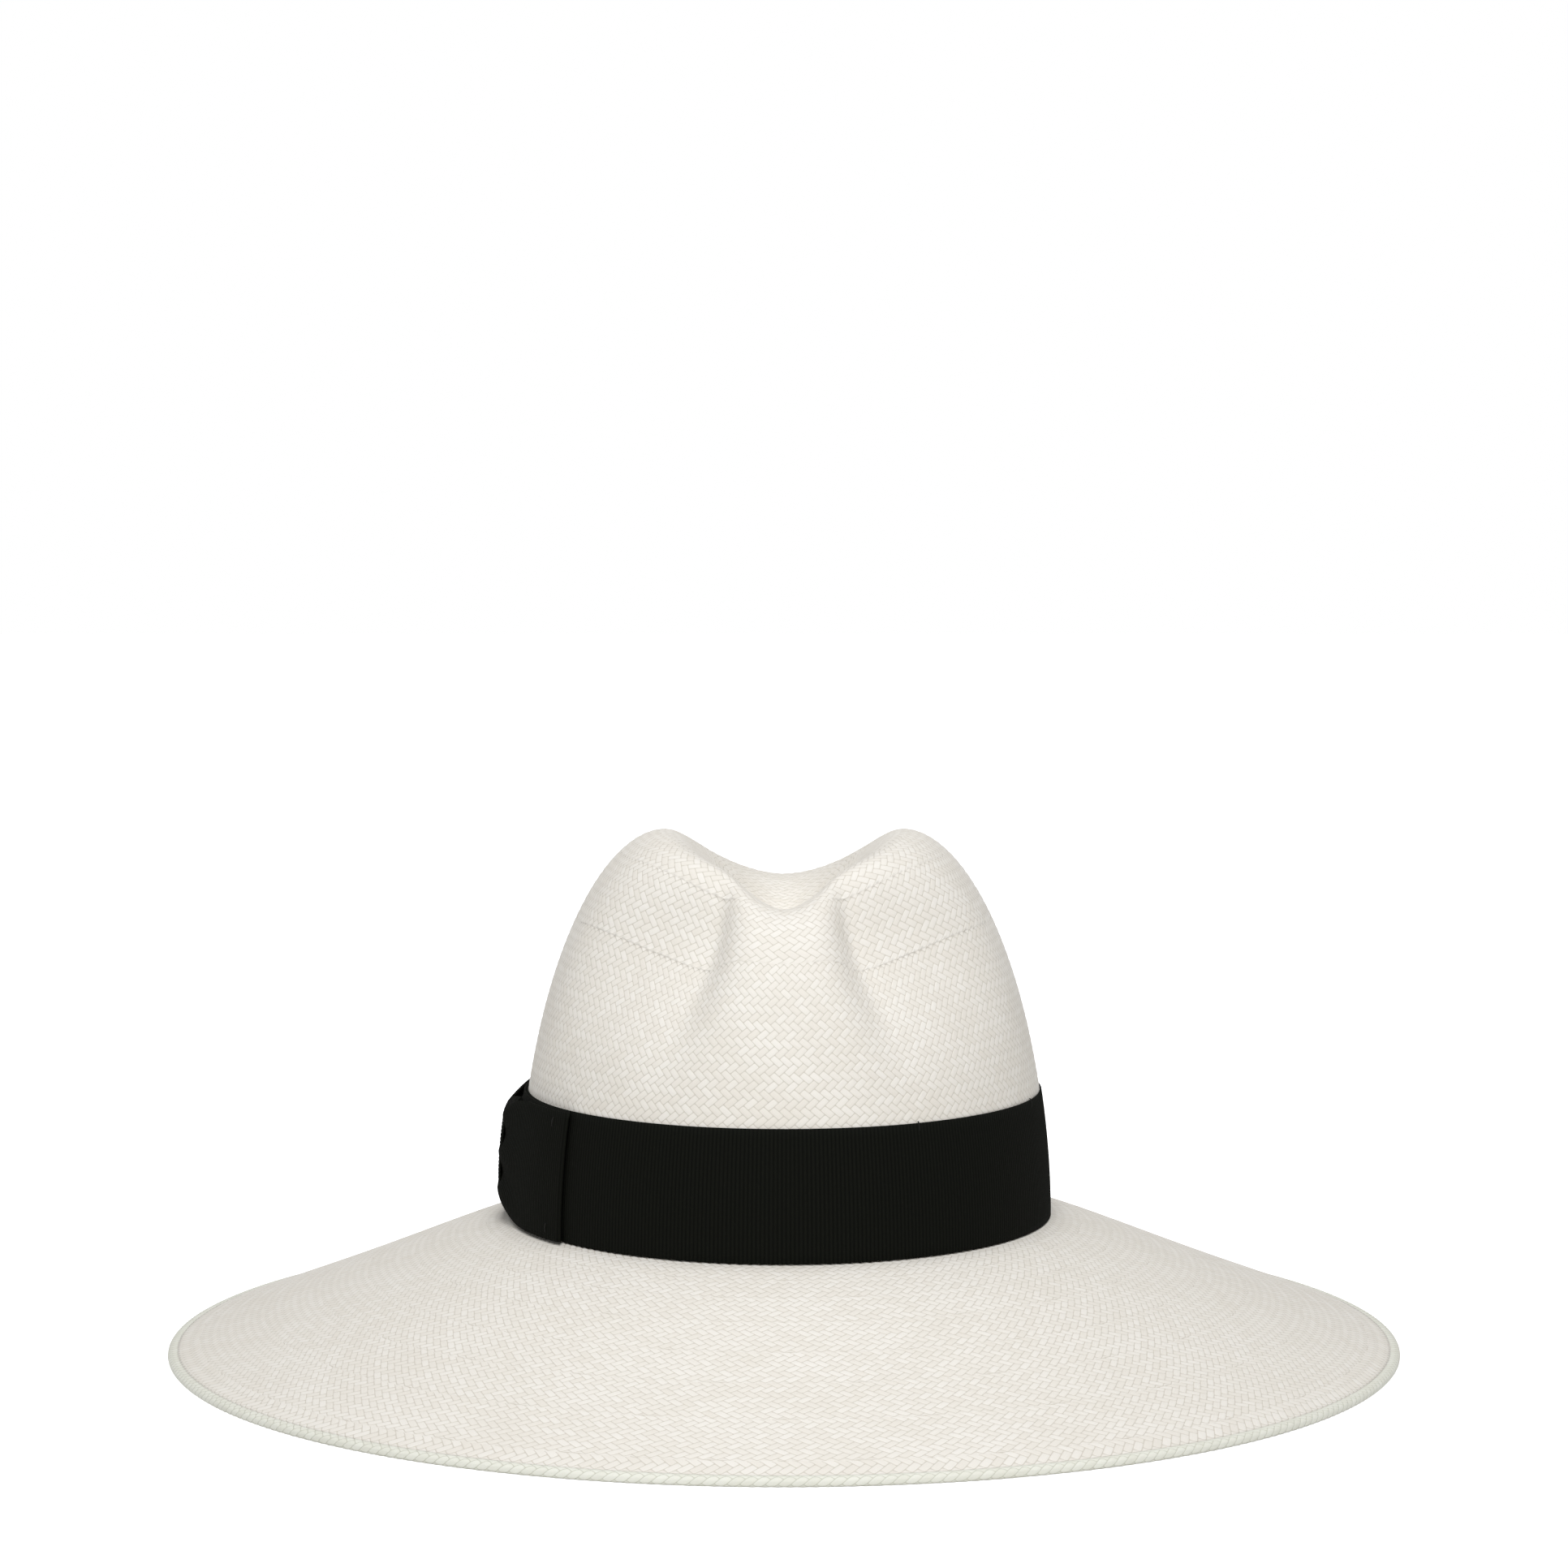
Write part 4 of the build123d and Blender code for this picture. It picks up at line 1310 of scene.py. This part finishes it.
def makeClothGroup():
    # plain weave for tape, thread and label, with painted shade where the threads dip; the weave layer
    # is in millimetres
    group, given, result = newGroup(
        "plainCloth",
        [("Weave", "NodeSocketVector", None), ("Light", "NodeSocketColor", (0.8, 0.78, 0.7, 1)),
         ("Dark", "NodeSocketColor", (0.5, 0.48, 0.42, 1)), ("Thread", "NodeSocketFloat", 0.4)],
        surfaceOutputs)
    calc = partial(sums, group)
    u, v = [calc("DIVIDE", way, given.outputs["Thread"]) for way in weavePlace(group, given)]
    odd = calc("FLOORED_MODULO", calc("ADD", calc("FLOOR", u), calc("FLOOR", v)), 2.0)
    upU = calc("ABSOLUTE", calc("SINE", calc("MULTIPLY", u, math.pi)))
    upV = calc("ABSOLUTE", calc("SINE", calc("MULTIPLY", v, math.pi)))
    height = blendValues(group, odd, upU, upV)
    fuzz = noiseOf(group, given.outputs["Weave"], 2.3, 4.0)
    # painted shade: the threads darken toward the dark colour where they dip under each other; the fuzz
    # noise adds random tone
    tone = calc("MULTIPLY", calc("POWER", height, 0.6), calc("MULTIPLY_ADD", fuzz, 0.8, 0.5))
    color = blendColors(group, softenStep(
        group, tone, 0.0, 0.9), given.outputs["Dark"], given.outputs["Light"])
    roughness = blendValues(group, fuzz, 0.72, 0.95)
    return putOut(group, result, color, roughness, height)


def newMaterial(name, settings):
    material = bpy.data.materials.new(name)
    material.use_nodes = True
    tree = material.node_tree
    shader = tree.nodes["Principled BSDF"]
    for socket, value in settings.items():
        shader.inputs[socket].default_value = value
    return material, tree, shader


def weaveLayer(tree):
    return place(tree, "ShaderNodeUVMap", uv_map="weave").outputs["UV"]


def finishWith(tree, shader, effect, bumpDepth, bumpStrength):
    feed(tree, shader.inputs["Base Color"], effect.outputs["Color"])
    feed(tree, shader.inputs["Roughness"], effect.outputs["Roughness"])
    bump = place(tree, "ShaderNodeBump")
    bump.inputs["Strength"].default_value = bumpStrength
    bump.inputs["Distance"].default_value = bumpDepth
    feed(tree, bump.inputs["Height"], effect.outputs["Height"])
    feed(tree, shader.inputs["Normal"], bump.outputs["Normal"])


def useGroup(tree, group, **values):
    node = place(tree, "ShaderNodeGroup", node_tree=group)
    for key, value in values.items():
        feed(tree, node.inputs[key.replace("_", " ")], value)
    return node


strawGroup = makeStrawGroup()
ribbonGroup = makeRibbonGroup()
grainGroup = makeGrainGroup()
clothGroup = makeClothGroup()

# pale and deep are the straw's own tones; gap is a painted shade colour for the crevices between
# strands
strawLook = {
    "pale": (0.905, 0.875, 0.82, 1), "deep": (0.84, 0.80, 0.73, 1), "gap": (0.66, 0.62, 0.545, 1),
    "toneRange": 0.5, "bumpDepth": 0.00018, "bumpStrength": 0.4,
}
# the hem's straw is a little greener; its gap colour is painted shade too
edgeLook = dict(strawLook, pale=(0.86, 0.865, 0.785, 1), deep=(0.80, 0.80, 0.71, 1),
                gap=(0.62, 0.62, 0.53, 1))


def makeStraw(name, look):
    material, tree, shader = newMaterial(name, {"Specular IOR Level": 0.32, "Sheen Weight": 0.08})
    tone = place(tree, "ShaderNodeAttribute", attribute_name="strandTone")
    effect = useGroup(tree, strawGroup, Weave=weaveLayer(tree), Strand_Tone=tone.outputs["Fac"],
                      Pale=look["pale"], Deep=look["deep"], Gap=look["gap"],
                      Tone_Range=look["toneRange"])
    finishWith(tree, shader, effect, look["bumpDepth"], look["bumpStrength"])
    return material


# ink is the ribbon's own black; the lighter colour is painted highlight for the cord tops
ribbonLook = {
    "ink": (0.0018, 0.0021, 0.0015, 1), "cordTopLight": (0.0085, 0.0095, 0.0068, 1),
    "bumpDepth": 0.00012, "bumpStrength": 0.6,
}


def makeRibbon(name, look):
    material, tree, shader = newMaterial(name, {"Specular IOR Level": 0.07})
    effect = useGroup(tree, ribbonGroup, Weave=weaveLayer(tree), Ink=look["ink"], Worn=look["cordTopLight"])
    finishWith(tree, shader, effect, look["bumpDepth"], look["bumpStrength"])
    return material


leatherLook = {
    "dark": (0.235, 0.135, 0.07, 1), "light": (0.46, 0.30, 0.18, 1),
    "bumpDepth": 0.00015, "bumpStrength": 0.45,
}


def makeLeather(name, look):
    material, tree, shader = newMaterial(name, {"Specular IOR Level": 0.4})
    spot = place(tree, "ShaderNodeTexCoord").outputs["Object"]
    effect = useGroup(tree, grainGroup, Place=spot, Dark=look["dark"], Light=look["light"])
    finishWith(tree, shader, effect, look["bumpDepth"], look["bumpStrength"])
    return material


def makeCloth(name, light, dark, thread, settings):
    material, tree, shader = newMaterial(name, settings)
    effect = useGroup(tree, clothGroup, Weave=weaveLayer(tree), Light=light, Dark=dark, Thread=thread)
    finishWith(tree, shader, effect, 0.0001, 0.5)
    return material


def makeSolid(name, dark, light, settings, cells, bumpDepth):
    material, tree, shader = newMaterial(name, settings)
    spot = place(tree, "ShaderNodeTexCoord").outputs["Object"]
    effect = useGroup(tree, grainGroup, Place=spot, Dark=dark, Light=light, Cells=cells)
    finishWith(tree, shader, effect, bumpDepth, 0.2)
    return material


strawMaterial = makeStraw("bleachedStraw", strawLook)
edgeMaterial = makeStraw("edgeStraw", edgeLook)
ribbonMaterial = makeRibbon("blackGrosgrain", ribbonLook)
leatherMaterial = makeLeather("tanLeather", leatherLook)
tapeMaterial = makeCloth("cottonTape", (0.78, 0.75, 0.67, 1), (0.5, 0.47, 0.4, 1), 0.45,
                         {"Specular IOR Level": 0.2, "Sheen Weight": 0.1})
threadMaterial = makeCloth("paleThread", (0.82, 0.79, 0.71, 1), (0.5, 0.47, 0.4, 1), 0.18,
                           {"Specular IOR Level": 0.3})
darkThreadMaterial = makeCloth("blackThread", (0.02, 0.02, 0.018, 1), (0.005, 0.005, 0.005, 1), 0.18,
                               {"Specular IOR Level": 0.2})
labelMaterial = makeCloth("labelCloth", (0.86, 0.85, 0.81, 1), (0.62, 0.61, 0.57, 1), 0.22,
                          {"Specular IOR Level": 0.3, "Sheen Weight": 0.1})
wireMaterial = makeSolid("springWire", (0.30, 0.31, 0.33, 1), (0.55, 0.56, 0.58, 1),
                         {"Metallic": 1.0}, 2500.0, 0.00002)
reedMaterial = makeSolid("plasticReed", (0.70, 0.68, 0.62, 1), (0.86, 0.84, 0.79, 1),
                         {"Specular IOR Level": 0.5}, 1200.0, 0.00003)


def dress(piece, material):
    piece.data.materials.clear()
    piece.data.materials.append(material)


# what each piece stands for
trim = [
    (crownPiece, ("crown",), "straw", strawMaterial),
    (brimPiece, ("brim",), "straw", strawMaterial),
    (hemPiece, ("brim_hem",), "straw", edgeMaterial),
    (hatbandPiece, ("hatband",), "grosgrain", ribbonMaterial),
    (backingPiece, ("bow_backing",), "grosgrain", ribbonMaterial),
    (frontLoop, ("bow_front_loop",), "grosgrain", ribbonMaterial),
    (backLoop, ("bow_back_loop",), "grosgrain", ribbonMaterial),
    (knotPiece, ("bow_knot",), "grosgrain", ribbonMaterial),
    (hemThread, ("hem_stitches",), "thread", threadMaterial),
    (bandTacks, ("hatband_tacks",), "dark_thread", darkThreadMaterial),
    (bowTacks, ("bow_tacks",), "dark_thread", darkThreadMaterial),
    (sweatPiece, ("sweatband",), "leather", leatherMaterial),
    (sweatThread, ("sweatband_stitches",), "thread", threadMaterial),
    (tapePiece, ("reed_tape",), "cotton_tape", tapeMaterial),
    (backBow[2], ("sweatband_bow",), "grosgrain", ribbonMaterial),
    (backBow[0], (), "grosgrain", ribbonMaterial),
    (backBow[1], (), "grosgrain", ribbonMaterial),
    (labelPiece, ("size_label",), "label", labelMaterial),
]
for piece, nodes, slotName, material in trim:
    dress(piece, material)
    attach(piece, "root")
    if nodes:
        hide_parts(*nodes)
dress(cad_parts["brim_edge_wire"], wireMaterial)
dress(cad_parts["wire_joiner"], wireMaterial)
dress(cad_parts["sweatband_reed"], reedMaterial)

# room and light
roomLook = {
    "floorHalf": 6.0, "floorColor": (0.92, 0.92, 0.92, 1), "floorGlow": 1.0,
    "seenWorld": 1.0, "worldLight": 0.315,    # the backdrop is whiter than the light that it gives
}
lamps = {
    "frontSoftbox": {"place": (0.0, -1.84, 1.37), "aim": (0, 0, 0.08), "size": 1.1, "power": 21.0},
    "topSoftbox": {"place": (0.0, 0.0, 2.3), "aim": (0, 0, 0.08), "size": 1.1, "power": 20.0},
}


def makeRoom(look):
    half = look["floorHalf"]
    corners = np.array([[-half, -half, 0], [half, -half, 0], [half, half, 0], [-half, half, 0]]) / metre
    floor = makeMesh("paleFloor", corners, [[0, 1, 2, 3]], [], None, smooth=False)
    material, tree, shader = newMaterial("paleFloor", {
        "Base Color": look["floorColor"], "Roughness": 0.9, "Specular IOR Level": 0.1,
        "Emission Color": (1, 1, 1, 1)})
    # the floor is seen white, and sends back only the light that falls on it
    seen = place(tree, "ShaderNodeLightPath").outputs["Is Camera Ray"]
    feed(tree, shader.inputs["Emission Strength"], sums(tree, "MULTIPLY", seen, look["floorGlow"]))
    dress(floor, material)
    world = bpy.data.worlds.new("softRoom")
    world.use_nodes = True
    tree = world.node_tree
    sky = tree.nodes["Background"]
    sky.inputs["Color"].default_value = (1, 1, 1, 1)
    seen = place(tree, "ShaderNodeLightPath").outputs["Is Camera Ray"]
    feed(tree, sky.inputs["Strength"], blendValues(tree, seen, look["worldLight"], look["seenWorld"]))
    bpy.context.scene.world = world
    bpy.context.scene.view_settings.view_transform = "Standard"


def makeLamp(name, look):
    data = bpy.data.lights.new(name, "AREA")
    data.shape = "DISK"
    data.size = look["size"]
    data.energy = look["power"]
    lamp = bpy.data.objects.new(name, data)
    lamp.location = look["place"]
    way = Vector(look["aim"]) - Vector(look["place"])
    lamp.rotation_euler = way.to_track_quat("-Z", "Y").to_euler()
    bpy.context.scene.collection.objects.link(lamp)


makeRoom(roomLook)
for lampName, lampLook in lamps.items():
    makeLamp(lampName, lampLook)
print("room lit")
